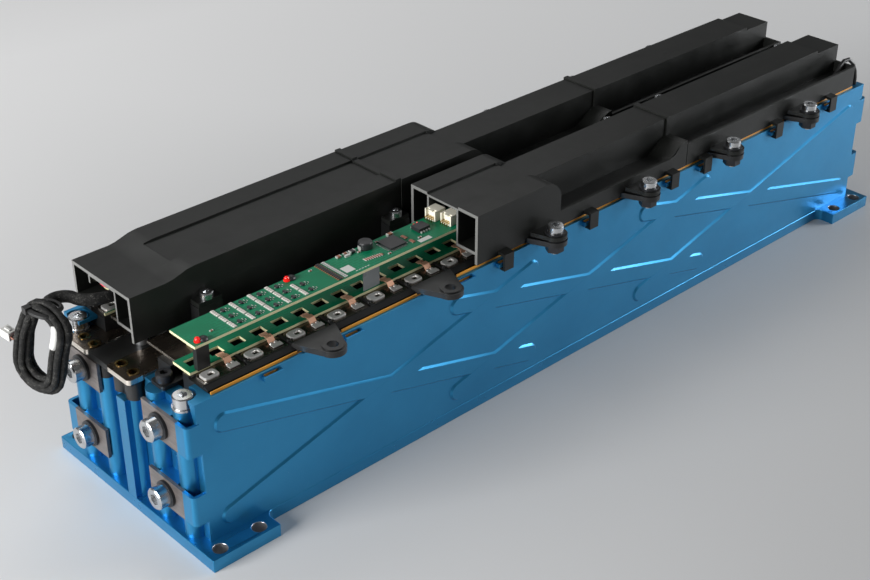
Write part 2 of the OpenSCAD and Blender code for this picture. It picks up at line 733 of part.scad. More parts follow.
module terminal_carrier() {
    end_top = base_thick + centre_end_height;
    at = outer_screw(1, -1);
    color("#141416") difference() {
        union() {
            box(terminal_front + 1.6, -block_in, -terminal_out + 0.6, second_out - 3, deck_floor, terminal_floor);
            box(-block_in - eps, riser_x - 2.4, -terminal_out + 0.6, second_neck, deck_floor, terminal_floor);
            box(-column_x - 4, -block_out - 0.3, -5, 5, end_top, deck_floor + eps);
            for (y = right_holes) peg(hole_line, y, boss_floor, terminal_floor, boss_d);
            peg(-column_x, column_inner, boss_floor, terminal_floor, column_d);
            box(-frame_half + 0.6, riser_x - 3, -terminal_in + 0.4, second_in - 0.3, deck_floor, terminal_top - 0.6);
        }
        for (y = concat(right_holes, left_holes)) {
            peg(hole_line, y, end_top + 4, terminal_top + 2, terminal_insert_d + 0.2);
        }
        for (y = [-inner_line, inner_line]) peg(cell_x(0), y, deck_floor - 1, terminal_top + 1, stud_d + 1);
        peg(-at[0], at[1], deck_floor - 1, terminal_top + 2, screw_flange_d + 1);
    }
}

// Covers: a raised channel between two ducts, which end as open gutters
channel_top = cover_top - 2.4;
groove = 1.3;
module duct_profile() {
    difference() {
        translate([cover_in, cover_seat]) square([cover_out - cover_in, cover_height]);
        translate([channel_in, cover_top - groove]) square([channel_width, 5]);
        duct_holes(cover_top - cover_wall);
        cover_cavity(cover_top - groove - channel_skin);
    }
}
module duct_holes(top) {
    for (y = [[cover_in + cover_wall, channel_in], [channel_out, cover_out - cover_wall]])
        translate([y[0], gutter_top]) square([y[1] - y[0], top - gutter_top]);
}
module cover_cavity(top) {
    translate([cover_in + cover_wall, cover_seat - 1])
        square([cover_out - cover_in - 2 * cover_wall, gutter_top - cover_wall - cover_seat + 1]);
    translate([channel_in + channel_skin, cover_seat - 1])
        square([channel_width - 2 * channel_skin, top - cover_seat + 1]);
}
module gutter_profile(drop, lip) {
    difference() {
        union() {
            translate([cover_in, cover_seat]) square([cover_out - cover_in, gutter_top - cover_seat]);
            for (y = [cover_in, cover_out - cover_wall])
                translate([y, cover_seat]) square([cover_wall, lip - cover_seat]);
            translate([channel_in, cover_seat]) square([channel_width, channel_top - drop - cover_seat]);
        }
        cover_cavity(channel_top - drop - channel_skin);
    }
}
// Extrudes a profile drawn along X and Z over a stretch of Y
module across(y0, y1) {
    translate([0, y1, 0]) rotate([90, 0, 0]) linear_extrude(y1 - y0) children();
}
// Everything below the left cover's roof line, which ramps down to its near end
module under_roof(x0, x1, gap) {
    roof = cover_top - gap;
    ramp = x0 + 23;
    across(cover_in - 1, cover_out + 1) polygon([
        [x0 - 2, cover_seat - 2], [x1 + 2, cover_seat - 2], [x1 + 2, roof], [ramp + 19, roof],
        [ramp + 14, roof - low_roof * 0.16], [ramp + 5, roof - low_roof * 0.84], [ramp, roof - low_roof],
        [x0 - 2, roof - low_roof]]);
}
module low_ended_duct(x0, x1) {
    difference() {
        intersection() {
            run(x0, x1) translate([cover_in, cover_seat]) square([cover_out - cover_in, cover_height + 1]);
            under_roof(x0, x1, 0);
        }
        box(x0 + 36, x1 + 1, channel_in, channel_out, cover_top - groove, cover_top + 1);
        intersection() {
            run(x0 - 1, x1 + 1) duct_holes(cover_top + 1);
            under_roof(x0, x1, cover_wall);
        }
        intersection() {
            run(x0 - 1, x1 + 1) cover_cavity(cover_top + 1);
            under_roof(x0, x1, groove + channel_skin);
        }
    }
}
// Rounded end of a duct, where its gutter comes into the open
lid_round = 13;
module lid_outline(wall) {
    r = lid_round - wall;
    translate([-1, gutter_top - 1]) square([1 + r, cover_top - lid_round - gutter_top + 1]);
    translate([0, cover_top - lid_round]) intersection() {
        circle(r);
        translate([-1, -1]) square(r + 2);
    }
    translate([-1, cover_top - lid_round - 1]) square([1.01, r + 1]);
}
module duct_end_cap(x, y0, y1) {
    translate([x, 0, 0]) {
        across(y0, y1) difference() {
            lid_outline(0);
            lid_outline(cover_wall);
        }
        across(y0, y0 + cover_wall) lid_outline(0);
        across(y1 - cover_wall, y1) lid_outline(0);
    }
}
module end_wall(x0, x1, lip, top) {
    box(x0, x1, cover_in, cover_out, gutter_top - cover_wall, lip);
    box(x0, x1, channel_in, channel_out, gutter_top - cover_wall, top);
}
// Raised band that wraps the channel where it meets the next cover
band_width = 4;
module seam_band(x, top) {
    run(x - band_width, x) difference() {
        translate([channel_in - band_proud, gutter_top - 0.5])
            square([channel_width + 2 * band_proud, top + band_proud - gutter_top + 0.5]);
        translate([channel_in + 0.6, gutter_top - 1]) square([channel_width - 1.2, top - 0.6 - gutter_top + 1]);
    }
}
module duct_band(x) {
    for (y = [[cover_in, channel_in + 0.3, 0], [channel_in - 0.2, channel_out + 0.2, groove],
              [channel_out - 0.3, cover_out, 0]])
        box(x - band_width, x, y[0], y[1], cover_top - y[2] - 0.5, cover_top - y[2] + band_proud);
}
// Flared end of an open gutter
module flare(x) {
    low = gutter_top;
    high = lip_top + flare_rise;
    for (y = [[cover_in + 0.5, channel_in + 0.5], [channel_out - 0.5, cover_out - 0.5]])
        across(y[0], y[1]) polygon([
            [x - 21, low - 0.5], [x - 21, low], [x - 16, low + 2.4], [x - 10, high - 3.2], [x - 5, high - 0.6], [x, high],
            [x, high - cover_wall], [x - 4.4, high - cover_wall - 0.6], [x - 8.8, high - 5.4], [x - 14, low + 0.8],
            [x - 16.4, low - 0.5]]);
    for (y = [cover_in, cover_out - cover_wall]) across(y, y + cover_wall) polygon([
        [x - 17, lip_top - 1], [x - 17, lip_top], [x - 12, lip_top + 1.6], [x - 7, high - 1.4], [x - 3, high], [x, high],
        [x, lip_top - 1]]);
}
// Snap clip that wraps the lanced strap below it
module clip(x) {
    run(x - 3.8, x + 3.8) polygon([
        [cover_out - 1, cover_seat + 1], [cover_out - 1, cover_seat + 3.2], [sheet_out + 4.6, cover_seat + 2.6],
        [sheet_out + 4.6, lance_z - 3.6], [sheet_out + 0.4, lance_z - 3.6], [sheet_out + 0.4, lance_z - 1.9],
        [sheet_out + lance_out + 0.4, lance_z - 1.9], [sheet_out + lance_out + 0.4, cover_seat + 1]]);
}
module cover_ear(x) {
    difference() {
        union() {
            translate([x, 0, lug_top]) linear_extrude(2.6) {
                polygon([[-11, cover_out - 1], [11, cover_out - 1], [6, lug_line + 4.4], [-6, lug_line + 4.4]]);
                translate([0, lug_line]) circle(7.4);
            }
        }
        peg(x, lug_line, lug_top - 1, lug_top + 4, cover_bolt_d + 0.6);
    }
}
module valley_ear(x) {
    difference() {
        box(x - 7.6, x + 7.6, -centre_half + 0.6, cover_in + 1, pillar_top, pillar_top + 3);
        peg(x, valley_line, pillar_top - 1, pillar_top + 4, cover_bolt_d + 0.6);
    }
}
function lugs_of(i) = [for (x = lug_places) if (x > cover_from(i) && x < cover_to(i)) x];
module cover(side, i) {
    from_x = cover_from(i);
    to_x = cover_to(i);
    ramp = to_x - 26;
    far_lip = lip_top + far_lip_rise;
    far_drop = 2.2;
    color("#2a2c2f") on_side(side) difference() {
        union() {
            if (i == 0) {
                low_ended_duct(from_x, to_x);
                duct_band(to_x);
            }
            if (i == 1) {
                run(from_x, duct_end) duct_profile();
                run(duct_end - eps, to_x) gutter_profile(0, lip_top);
                duct_end_cap(duct_end, cover_in, channel_in + 0.8);
                duct_end_cap(duct_end, channel_out - 0.8, cover_out);
                seam_band(to_x, channel_top);
                flare(to_x);
            }
            if (i == 2) {
                run(from_x, ramp) gutter_profile(0, far_lip);
                run(ramp - eps, to_x) gutter_profile(far_drop, far_lip);
                end_wall(to_x - cover_wall, to_x, far_lip, channel_top - far_drop);
                box(ramp - cover_wall, ramp, channel_in, channel_out, channel_top - far_drop - cover_wall, channel_top);
            }
            for (x = concat(clip_places(i), [cover_mid(i)])) clip(x);
            for (x = lugs_of(i)) cover_ear(x);
            if (side > 0) {
                for (x = valley_places(i)) valley_ear(x);
            }
        }
        for (x = lugs_of(i)) {
            box(x - 15.4, x + 15.4, cover_out - 6.4, cover_out + 1, cover_seat - 1, lug_top);
        }
        if (side > 0) {
            for (x = valley_places(i)) {
                box(x - 8.4, x + 8.4, cover_in - 1, carrier_in + 1.4, cover_seat - 1, pillar_top);
            }
        }
        link_notch();
        if (i == 0) {
            // Cable mouth: the channel's outer wall is cut back behind the open end
            box(from_x - 1, from_x + 14, channel_out - channel_skin - 1, channel_out + eps, gutter_top, cover_top - 11);
        }
    }
}

// Bolts, washers and nuts that hold the covers
function bolted_lugs(side) = [for (x = lug_places) if (side > 0 || x > cover_from(1)) x];
ear_top = lug_top + 2.6;
module cover_bolts() {
    color("#c8ccd0") for (side = [-1, 1]) on_side(side) {
        for (x = bolted_lugs(side)) translate([x, lug_line, ear_top + 1.2])
            socket_screw(cover_bolt_d - 0.2, cover_bolt_d * 1.66, cover_bolt_d * 0.72, 14.5, cover_bolt_d * 0.7);
    }
    color("#c8ccd0") for (i = [0 : 2], x = valley_places(i)) translate([x, valley_line, pillar_top + 3])
        socket_screw(cover_bolt_d - 1, cover_bolt_d * 1.3, cover_bolt_d * 0.6, 11, cover_bolt_d * 0.6);
}
module cover_washers() {
    color("#26272a") for (side = [-1, 1]) on_side(side) for (x = bolted_lugs(side)) {
        translate([x, lug_line, ear_top]) difference() {
            cylinder(d = cover_bolt_d * 2.1, h = 1.2);
            translate([0, 0, -1]) cylinder(d = cover_bolt_d + 0.4, h = 4);
        }
    }
}
module cover_nuts() {
    color("#2c2d30") for (side = [-1, 1]) on_side(side) for (x = bolted_lugs(side)) {
        translate([x, lug_line, lug_floor - 5]) difference() {
            cylinder(d = cover_bolt_d * 1.66 / cos(30), h = 5, $fn = 6);
            translate([0, 0, -1]) cylinder(d = cover_bolt_d, h = 8);
        }
    }
}

// Free harness that hangs from the left cover's mouth, and the short lead at the far end
lead_d = 7;
lead_points = [
    [-268, 25.4, 120.8], [-280, 24.8, 120.8], [-290, 24.3, 121], [-296, 24.8, 121.6], [-300.8, 26.6, 122],
    [-304.4, 29.2, 122], [-306, 33.4, 121.8], [-306.6, 36.7, 121.6], [-308.4, 39.5, 121.5], [-311.2, 41.4, 121.5],
    [-314.5, 42, 121.5], [-318.3, 41.1, 121.5]
];
far_points = [
    [272, -53, 109.7], [275, -53, 111.8], [278.5, -53, 115.4], [283, -53.1, 118], [287.5, -54, 118.2],
    [291, -55.6, 114.6], [293, -56.9, 109], [293.6, -57.5, 103.5], [293.6, -57.6, 98.2]
];
far_lead_d = 3;
function unit(v) = v / norm(v);
function along(p, i) = unit(p[min(i + 1, len(p) - 1)] - p[max(i - 1, 0)]);
function ring(p, i, r, n, ref) =
    let (t = along(p, i), side = unit(cross(t, ref)), up = cross(side, t))
    [for (k = [0 : n - 1]) p[i] + r * (cos(360 * k / n) * side + sin(360 * k / n) * up)];
module swept(p, d, n, ref) {
    rings = [for (i = [0 : len(p) - 1]) each ring(p, i, d / 2, n, ref)];
    walls = [for (i = [0 : len(p) - 2], k = [0 : n - 1])
        [i * n + k, i * n + (k + 1) % n, (i + 1) * n + (k + 1) % n, (i + 1) * n + k]];
    polyhedron(rings, concat(walls, [[for (k = [n - 1 : -1 : 0]) k]],
        [[for (k = [0 : n - 1]) (len(p) - 1) * n + k]]), convexity = 6);
}
module harness_lead() {
    color("#232426") swept(lead_points, lead_d, 10, [0, 0.1, 1]);
}
hank_w = 36;
hank_h = 60;
hank_t = 13;
hank_wall = 13;
hank_at = [-326, 39, 97];
module at_hank() {
    translate(hank_at) rotate([0, 0, -75]) children();
}
module hank_outline(grow) {
    r = hank_w / 2 + grow;
    straight = hank_h / 2 - hank_w / 2;
    for (s = [-1, 1]) translate([0, s * straight]) circle(r);
    translate([-r, -straight]) square([2 * r, 2 * straight]);
}
module harness_coil() {
    color("#232426") at_hank() rotate([90, 0, 0]) translate([0, 0, -hank_t / 2]) linear_extrude(hank_t) difference() {
        hank_outline(0);
        hank_outline(-hank_wall);
    }
}
module harness_tie() {
    color("#d8d8d4") at_hank() translate([0, 0, hank_h / 2 - hank_wall / 2]) difference() {
        box(-3.5, 3.5, -hank_t / 2 - 1.2, hank_t / 2 + 1.2, -hank_wall / 2 - 2.8, hank_wall / 2 + 1.3);
        box(-4, 4, -hank_t / 2 - 0.05, hank_t / 2 + 0.05, -hank_wall / 2 - 1.6, hank_wall / 2 + 0.1);
    }
}
module harness_tag() {
    color("#f2f2ee") at_hank() box(5.5, 10, -hank_t / 2 - 0.6, -hank_t / 2, 2, 18);
}
module harness_connector() {
    color("#efece2") at_hank() translate([-hank_w / 2 - 10, 0, 7]) {
        box(0, 8, -4, 4, -3.2, 3.2);
        box(8 - eps, 10, -1.6, 1.6, -1.6, 1.6);
    }
}
module far_lead() {
    color("#1c1c1e") swept(far_points, far_lead_d, 8, [0.1, 1, 0]);
}

base_plate();
centre_plate();
side_plate(-1);  // side_plate_right
side_plate(1);  // side_plate_left
end_block(-1, -1);  // end_block_right_near
end_block(-1, 1);  // end_block_right_far
end_block(1, -1);  // end_block_left_near
end_block(1, 1);  // end_block_left_far
tab_screws();
tab_washers();
column_screws();
carrier_screws();
floor_sheets();
cells(-1);  // cells_right
cells(1);  // cells_left
cell_spacers(-1);  // cell_spacers_right
cell_spacers(1);  // cell_spacers_left
end_pads();
side_liner(-1);  // side_liner_right
side_liner(1);  // side_liner_left
carrier(-1);  // carrier_right
carrier(1);  // carrier_left
outer_bars(-1);  // outer_bars_right
outer_bars(1);  // outer_bars_left
inner_bars(-1);  // inner_bars_right
inner_bars(1);  // inner_bars_left
row_link();
terminal_discs();
sense_tabs();
sensing_board(-1);  // sensing_board_right
sensing_board(1);  // sensing_board_left
control_board(-1);  // control_board_right
control_board(1);  // control_board_left
board_standoffs();
board_link();
microcontroller();
capacitor();
board_connectors();
driver_chips();
resistor_strips();
status_leds();
terminal_plate_right();
terminal_plate_left();
terminal_inserts();
terminal_carrier();
cover(1, 0);  // cover_left_near
cover(1, 1);  // cover_left_middle
cover(1, 2);  // cover_left_far
cover(-1, 1);  // cover_right_middle
cover(-1, 2);  // cover_right_far
cover_bolts();
cover_washers();
cover_nuts();
harness_lead();
harness_coil();
harness_tie();
harness_tag();
harness_connector();
far_lead();
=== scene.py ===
import bpy
import bmesh
import math
from mathutils import Matrix, Vector


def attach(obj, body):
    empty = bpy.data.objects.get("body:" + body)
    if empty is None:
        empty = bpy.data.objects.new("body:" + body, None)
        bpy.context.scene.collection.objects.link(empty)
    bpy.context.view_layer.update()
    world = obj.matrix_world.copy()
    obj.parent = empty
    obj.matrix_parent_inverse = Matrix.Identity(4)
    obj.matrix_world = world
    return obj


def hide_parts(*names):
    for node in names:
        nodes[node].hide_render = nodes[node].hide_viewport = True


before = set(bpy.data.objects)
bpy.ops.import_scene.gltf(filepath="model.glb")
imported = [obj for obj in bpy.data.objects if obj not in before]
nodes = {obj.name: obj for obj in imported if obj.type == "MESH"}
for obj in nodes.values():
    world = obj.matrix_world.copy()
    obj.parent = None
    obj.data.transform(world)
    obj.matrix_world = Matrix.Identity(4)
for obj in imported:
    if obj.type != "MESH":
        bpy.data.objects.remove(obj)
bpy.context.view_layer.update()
scene = bpy.context.scene
MM = 0.001


# Camera at the photograph's place, fitted to the part's straight edges

PHOTO_WIDTH = 870.0
FOCAL_PIXELS = 1510.76
FILM_WIDTH = 36.0
CAMERA_AT = (-0.636894, -0.600982, 0.53914)
CAMERA_RIGHT = (0.73014, -0.683298, -0.0008)
CAMERA_DOWN = (-0.351193, -0.374264, -0.858248)
CAMERA_AHEAD = (0.58614, 0.626922, -0.513234)


def make_camera():
    data = bpy.data.cameras.new("camera")
    data.sensor_fit = "HORIZONTAL"
    data.sensor_width = FILM_WIDTH
    data.lens = FILM_WIDTH * FOCAL_PIXELS / PHOTO_WIDTH
    data.clip_start = 0.02
    data.clip_end = 20.0
    cam = bpy.data.objects.new("camera", data)
    scene.collection.objects.link(cam)
    m = Matrix((Vector(CAMERA_RIGHT), -Vector(CAMERA_DOWN), -Vector(CAMERA_AHEAD))).transposed().to_4x4()
    m.translation = Vector(CAMERA_AT)
    cam.matrix_world = m
    scene.camera = cam


# Materials

class Mat:
    """A node material with a few helpers; object coordinates are the part's own frame."""

    def __init__(self, name):
        self.m = bpy.data.materials.new(name)
        self.m.use_nodes = True
        self.t = self.m.node_tree
        self.p = self.t.nodes["Principled BSDF"]
        self.coord = self.t.nodes.new("ShaderNodeTexCoord").outputs["Object"]

    def node(self, kind, **values):
        n = self.t.nodes.new(kind)
        for k, v in values.items():
            setattr(n, k, v)
        return n

    def link(self, a, b):
        self.t.links.new(a, b)

    def put(self, socket, value):
        if hasattr(value, "is_output"):
            self.link(value, socket)
        else:
            socket.default_value = value

    def noise(self, scale, detail=3.0, rough=0.55, stretch=None, seed=0.0):
        n = self.node("ShaderNodeTexNoise")
        n.inputs["Scale"].default_value = scale
        n.inputs["Detail"].default_value = detail
        n.inputs["Roughness"].default_value = rough
        src = self.coord
        if stretch or seed:
            mp = self.node("ShaderNodeMapping")
            mp.inputs["Scale"].default_value = stretch or (1, 1, 1)
            mp.inputs["Location"].default_value = (seed, seed * 0.7, seed * 1.3)
            self.link(src, mp.inputs["Vector"])
            src = mp.outputs["Vector"]
        self.link(src, n.inputs["Vector"])
        return n.outputs["Fac"]

    def ramp(self, fac, stops):
        r = self.node("ShaderNodeValToRGB")
        el = r.color_ramp.elements
        while len(el) < len(stops):
            el.new(0.5)
        for e, (pos, col) in zip(el, stops):
            e.position = pos
            e.color = col if len(col) == 4 else (*col, 1.0)
        self.link(fac, r.inputs["Fac"])
        return r.outputs["Color"]

    def mix(self, fac, a, b):
        x = self.node("ShaderNodeMix", data_type="RGBA")
        self.put(x.inputs[0], fac)
        self.put(x.inputs[6], a)
        self.put(x.inputs[7], b)
        return x.outputs[2]

    def math(self, op, a, b=0.0, c=0.0):
        x = self.node("ShaderNodeMath", operation=op)
        for i, v in enumerate((a, b, c)):
            if i < len(x.inputs):
                self.put(x.inputs[i], v)
        return x.outputs[0]

    def span(self, value, lo, hi, to_lo=0.0, to_hi=1.0):
        x = self.node("ShaderNodeMapRange")
        self.put(x.inputs["Value"], value)
        x.inputs["From Min"].default_value = lo
        x.inputs["From Max"].default_value = hi
        x.inputs["To Min"].default_value = to_lo
        x.inputs["To Max"].default_value = to_hi
        return x.outputs["Result"]

    def blend(self, fac, a, b):
        """From one colour to the other over the middle of a noise."""
        return self.ramp(fac, [(0.3, a), (0.7, b)])

    def gloss(self, scale, detail, lo, hi):
        """Roughness that changes between two values over the surface."""
        return self.span(self.noise(scale, detail), 0.3, 0.7, lo, hi)

    def times(self, a, b):
        return self.math("MULTIPLY", a, b)

    def within(self, value, limit):
        return self.math("LESS_THAN", self.math("ABSOLUTE", value), limit)

    def beyond(self, value, limit):
        return self.math("GREATER_THAN", self.math("ABSOLUTE", value), limit)

    def xyz(self):
        s = self.node("ShaderNodeSeparateXYZ")
        self.link(self.coord, s.inputs["Vector"])
        return s.outputs[0], s.outputs[1], s.outputs[2]

    def normal(self):
        g = self.node("ShaderNodeNewGeometry")
        s = self.node("ShaderNodeSeparateXYZ")
        self.link(g.outputs["True Normal"], s.inputs["Vector"])
        return s.outputs[0], s.outputs[1], s.outputs[2]

    def bump(self, height, strength, distance):
        b = self.node("ShaderNodeBump")
        b.inputs["Strength"].default_value = strength
        b.inputs["Distance"].default_value = distance
        self.link(height, b.inputs["Height"])
        self.link(b.outputs["Normal"], self.p.inputs["Normal"])

    def set(self, **values):
        names = {"color": "Base Color", "rough": "Roughness", "metal": "Metallic", "coat": "Coat Weight",
                 "coat_rough": "Coat Roughness", "spec": "Specular IOR Level",
                 "glow": "Emission Color", "glow_strength": "Emission Strength"}
        for k, v in values.items():
            self.put(self.p.inputs[names[k]], v)


def rgb(*v):
    """An sRGB colour written 0 to 255, as linear."""
    out = []
    for c in v:
        c = c / 255.0
        out.append(c / 12.92 if c <= 0.04045 else ((c + 0.055) / 1.055) ** 2.4)
    return (*out, 1.0)


def shade(col, k):
    return (col[0] * k, col[1] * k, col[2] * k, 1.0)


def plain(name, col, rough, metal=0.0, vary=0.18, grain=900.0, depth=0.00004, **more):
    """A surface with soft colour changes, uneven gloss and a fine grain."""
    m = Mat(name)
    big = m.noise(35.0, 4.0, 0.6, seed=len(name))
    color = m.blend(big, shade(col, 1 - vary), shade(col, 1 + vary))
    fine = m.noise(grain, 2.0)
    m.set(color=color, metal=metal, rough=m.gloss(120.0, 3.0, rough * 0.85, rough * 1.15), **more)
    m.bump(fine, 0.35, depth)
    return m.m


# Where the paint ends, in metres from the middle: the steel flags of the side plates' folded tabs, and the fixing
# holes in the base plate's ears
FLAG_Y = 0.0525
FLAG_X = 0.3036
EAR_X, EAR_X_END = 0.264, 0.3018
EAR_Y, EAR_Y_END = 0.0652, 0.0742


def blue_paint(name, bare=None):
    """Metallic blue coat over steel; bare says where the coat ends and bare steel shows."""
    m = Mat(name)
    x, y, _ = m.xyz()
    coat = m.blend(m.noise(14.0, 4.0, 0.6), (0.022, 0.225, 0.45, 1), (0.031, 0.270, 0.52, 1))
    specks = m.ramp(m.noise(620.0, 2.0, 0.7), [(0.72, (0, 0, 0)), (0.76, (1, 1, 1))])
    coat = m.mix(m.times(specks, 0.12), coat, (0.25, 0.45, 0.65, 1))
    lo, hi = (0.33, 0.41) if bare == "tabs" else (0.27, 0.35)
    rough = m.gloss(70.0, 3.0, lo, hi)
    if bare == "tabs":
        flags = m.times(m.within(y, FLAG_Y), m.beyond(x, FLAG_X))
        steel = m.blend(m.noise(90.0, 3.0, stretch=(1, 1, 6)), rgb(96, 90, 88), rgb(120, 113, 110))
        m.set(color=m.mix(flags, coat, steel), metal=m.span(flags, 0, 1, 0.86, 0.55), rough=rough)
    elif bare == "holes":
        wall = m.within(m.normal()[2], 0.5)
        ear = m.times(m.beyond(x, EAR_X), m.beyond(y, EAR_Y))
        inside = m.times(m.within(y, EAR_Y_END), m.within(x, EAR_X_END))
        holes = m.times(wall, m.times(ear, inside))
        m.set(color=m.mix(holes, coat, rgb(190, 190, 192)), metal=m.span(holes, 0, 1, 0.86, 0.9), rough=rough)
    else:
        m.set(color=coat, metal=0.86, rough=rough)
    m.set(coat=0.25, coat_rough=0.22)
    m.bump(m.noise(420.0, 2.0), 0.18, 0.00005)
    return m.m


# X of the cut rims at the open near ends of the left and right covers, in metres
RIM_LEFT, RIM_RIGHT, RIM_SLACK = -0.291, -0.0977, 0.0015


def cover_plastic(name):
    """Black moulded covers with faint scuffs; the cut rims' faces toward −X at the open ends carry a painted
    highlight in pale grey.
    """
    m = Mat(name)
    col = m.blend(m.noise(18.0, 4.0), (0.007, 0.0078, 0.007, 1), (0.012, 0.0127, 0.0115, 1))
    scuff = m.ramp(m.noise(45.0, 5.0, 0.7, stretch=(1, 7, 7)), [(0.60, (0, 0, 0)), (0.72, (1, 1, 1))])
    x = m.xyz()[0]
    nx = m.normal()[0]
    ends = m.math("ADD", m.math("COMPARE", x, RIM_LEFT, RIM_SLACK), m.math("COMPARE", x, RIM_RIGHT, RIM_SLACK))
    # Painted highlight: where a cut rim faces −X, the black is mixed toward pale grey in place of the lamp's
    # reflection on that side
    rim_highlight = m.times(m.math("LESS_THAN", nx, -0.9), m.math("MINIMUM", ends, 1.0))
    col = m.mix(m.times(rim_highlight, 0.8), col, rgb(120, 120, 118))
    m.set(color=m.mix(m.times(scuff, 0.08), col, (0.09, 0.09, 0.085, 1)), spec=0.32,
          rough=m.gloss(60.0, 4.0, 0.33, 0.46))
    m.bump(m.noise(1500.0, 2.0), 0.30, 0.00003)
    return m.m


TRACK_SCALE = 700.0 / 6.0


def board_material(name):
    """Green solder mask over faint copper tracks, with pale cut edges."""
    m = Mat(name)
    edge = m.within(m.normal()[2], 0.5)
    v = m.node("ShaderNodeTexBrick")
    v.inputs["Scale"].default_value = TRACK_SCALE
    v.inputs["Mortar Size"].default_value = 0.035
    v.inputs["Color1"].default_value = (0, 0, 0, 1)
    v.inputs["Color2"].default_value = (0.15, 0.15, 0.15, 1)
    v.inputs["Mortar"].default_value = (1, 1, 1, 1)
    m.link(m.coord, v.inputs["Vector"])
    masked = m.times(v.outputs["Color"], m.span(m.noise(28.0, 2.0), 0.48, 0.56))
    base = m.blend(m.noise(20.0, 3.0), (0.002, 0.140, 0.062, 1), (0.004, 0.190, 0.088, 1))
    col = m.mix(m.times(masked, 0.35), base, (0.012, 0.30, 0.15, 1))
    col = m.mix(edge, col, rgb(205, 200, 160))
    m.set(color=col, rough=0.36, spec=0.18)
    m.bump(masked, 0.25, 0.00004)
    return m.m


def bar_metal(name, col, rough):
    """Rolled plate with fine lines along X, darker heat stains, and a painted highlight in pale silver on every
    face that does not face up.
    """
    m = Mat(name)
    lines = m.noise(260.0, 3.0, 0.6, stretch=(0.12, 1.6, 1.0))
    stain = m.noise(55.0, 3.0, 0.6)
    c = m.blend(lines, shade(col, 0.78), shade(col, 1.12))
    c = m.mix(m.span(stain, 0.5, 0.72, 0.0, 0.45), c, shade(col, 0.45))
    # Painted highlight: edges and side faces, whose normal is not straight up, are mixed to pale silver
    c = m.mix(m.math("LESS_THAN", m.normal()[2], 0.9), c, (0.80, 0.74, 0.66, 1))
    m.set(color=c, metal=0.95, rough=m.gloss(90.0, 2.0, rough * 0.75, rough * 1.3))
    m.bump(lines, 0.12, 0.00005)
    return m.m


# Height of the foot of the chip's body, in metres; only its legs stand below
CHIP_FOOT = 0.11735


def legged_chip(name):
    """Black body with plated legs."""
    m = Mat(name)
    legs = m.math("LESS_THAN", m.xyz()[2], CHIP_FOOT)
    body = m.blend(m.noise(60.0, 3.0), (0.012, 0.012, 0.014, 1), (0.024, 0.024, 0.026, 1))
    m.set(color=m.mix(legs, body, (0.6, 0.6, 0.6, 1)), metal=m.span(legs, 0, 1, 0.0, 0.95), rough=0.32)
    m.bump(m.noise(900.0, 2.0), 0.3, 0.00003)
    return m.m


def tape(name):
    """Woven harness tape: uneven wraps and a speckled weave."""
    m = Mat(name)
    wraps = m.noise(210.0, 3.0, 0.6, stretch=(1, 1, 2.2))
    weave = m.noise(1300.0, 2.0, 0.75)
    col = m.ramp(m.math("ADD", m.times(wraps, 0.45), m.times(weave, 0.55)),
                 [(0.42, rgb(13, 13, 13)), (0.55, rgb(34, 34, 33)), (0.68, rgb(92, 91, 87))])
    m.set(color=col, rough=0.78, spec=0.25)
    m.bump(m.math("ADD", wraps, weave), 0.6, 0.0004)
    return m.m


M = {}


def make_materials():
    M["blue"] = blue_paint("blue_paint")
    M["blue_tabs"] = blue_paint("blue_paint_tabs", "tabs")
    M["blue_base"] = blue_paint("blue_paint_base", "holes")
    M["cover"] = cover_plastic("cover_plastic")
    M["carrier"] = plain("carrier_plastic", (0.0085, 0.0088, 0.009, 1), 0.38, depth=0.00003)
    M["board"] = board_material("board_green")
    M["screw"] = plain("plated_screw", (0.62, 0.63, 0.64, 1), 0.25, 1.0, 0.12)
    M["dark_metal"] = plain("blackened_steel", (0.035, 0.036, 0.040, 1), 0.36, 0.7)
    M["can"] = plain("cell_can", (0.60, 0.61, 0.62, 1), 0.35, 0.9)
    M["bar"] = bar_metal("plated_bar", (0.17, 0.15, 0.13, 1), 0.24)
    M["terminal"] = bar_metal("plated_terminal", (0.150, 0.122, 0.098, 1), 0.26)
    M["disc"] = plain("weld_disc", (0.70, 0.68, 0.64, 1), 0.22, 1.0)
    M["copper"] = plain("copper_strip", (0.93, 0.52, 0.34, 1), 0.3, 0.55, 0.1)
    M["liner"] = plain("orange_sheet", (0.75, 0.33, 0.035, 1), 0.4)
    M["mcu"] = legged_chip("chip_with_legs")
    M["chip"] = plain("chip_epoxy", (0.016, 0.016, 0.018, 1), 0.38)
    M["cream"] = plain("cream_plastic", rgb(226, 222, 205), 0.4, vary=0.05)
    M["led"] = plain("red_lamp", (0.75, 0.01, 0.008, 1), 0.15, vary=0.05,
                     glow=(0.8, 0.02, 0.01, 1), glow_strength=0.25)
    M["ceramic"] = plain("ceramic_strip", rgb(205, 200, 192), 0.35, vary=0.06)
    M["flex"] = plain("flat_cable", rgb(120, 124, 126), 0.3)
    M["brass"] = plain("turned_brass", (0.52, 0.36, 0.15, 1), 0.24, 1.0)
    M["tape"] = tape("harness_tape")
    M["white"] = plain("white_plastic", rgb(206, 206, 202), 0.45, vary=0.04)
    M["rubber"] = plain("cable_sheath", (0.012, 0.012, 0.012, 1), 0.45)
    M["red_wire"] = plain("red_sheath", rgb(196, 52, 70), 0.35)
    M["brown_part"] = plain("brown_part", rgb(150, 92, 66), 0.35)
    M["brown_wire"] = plain("brown_sheath", rgb(120, 70, 50), 0.4)
    M["pad"] = plain("insulating_sheet", (0.022, 0.022, 0.024, 1), 0.55)
    M["solder"] = plain("solder_metal", (0.66, 0.65, 0.63, 1), 0.32, 0.6, 0.1)


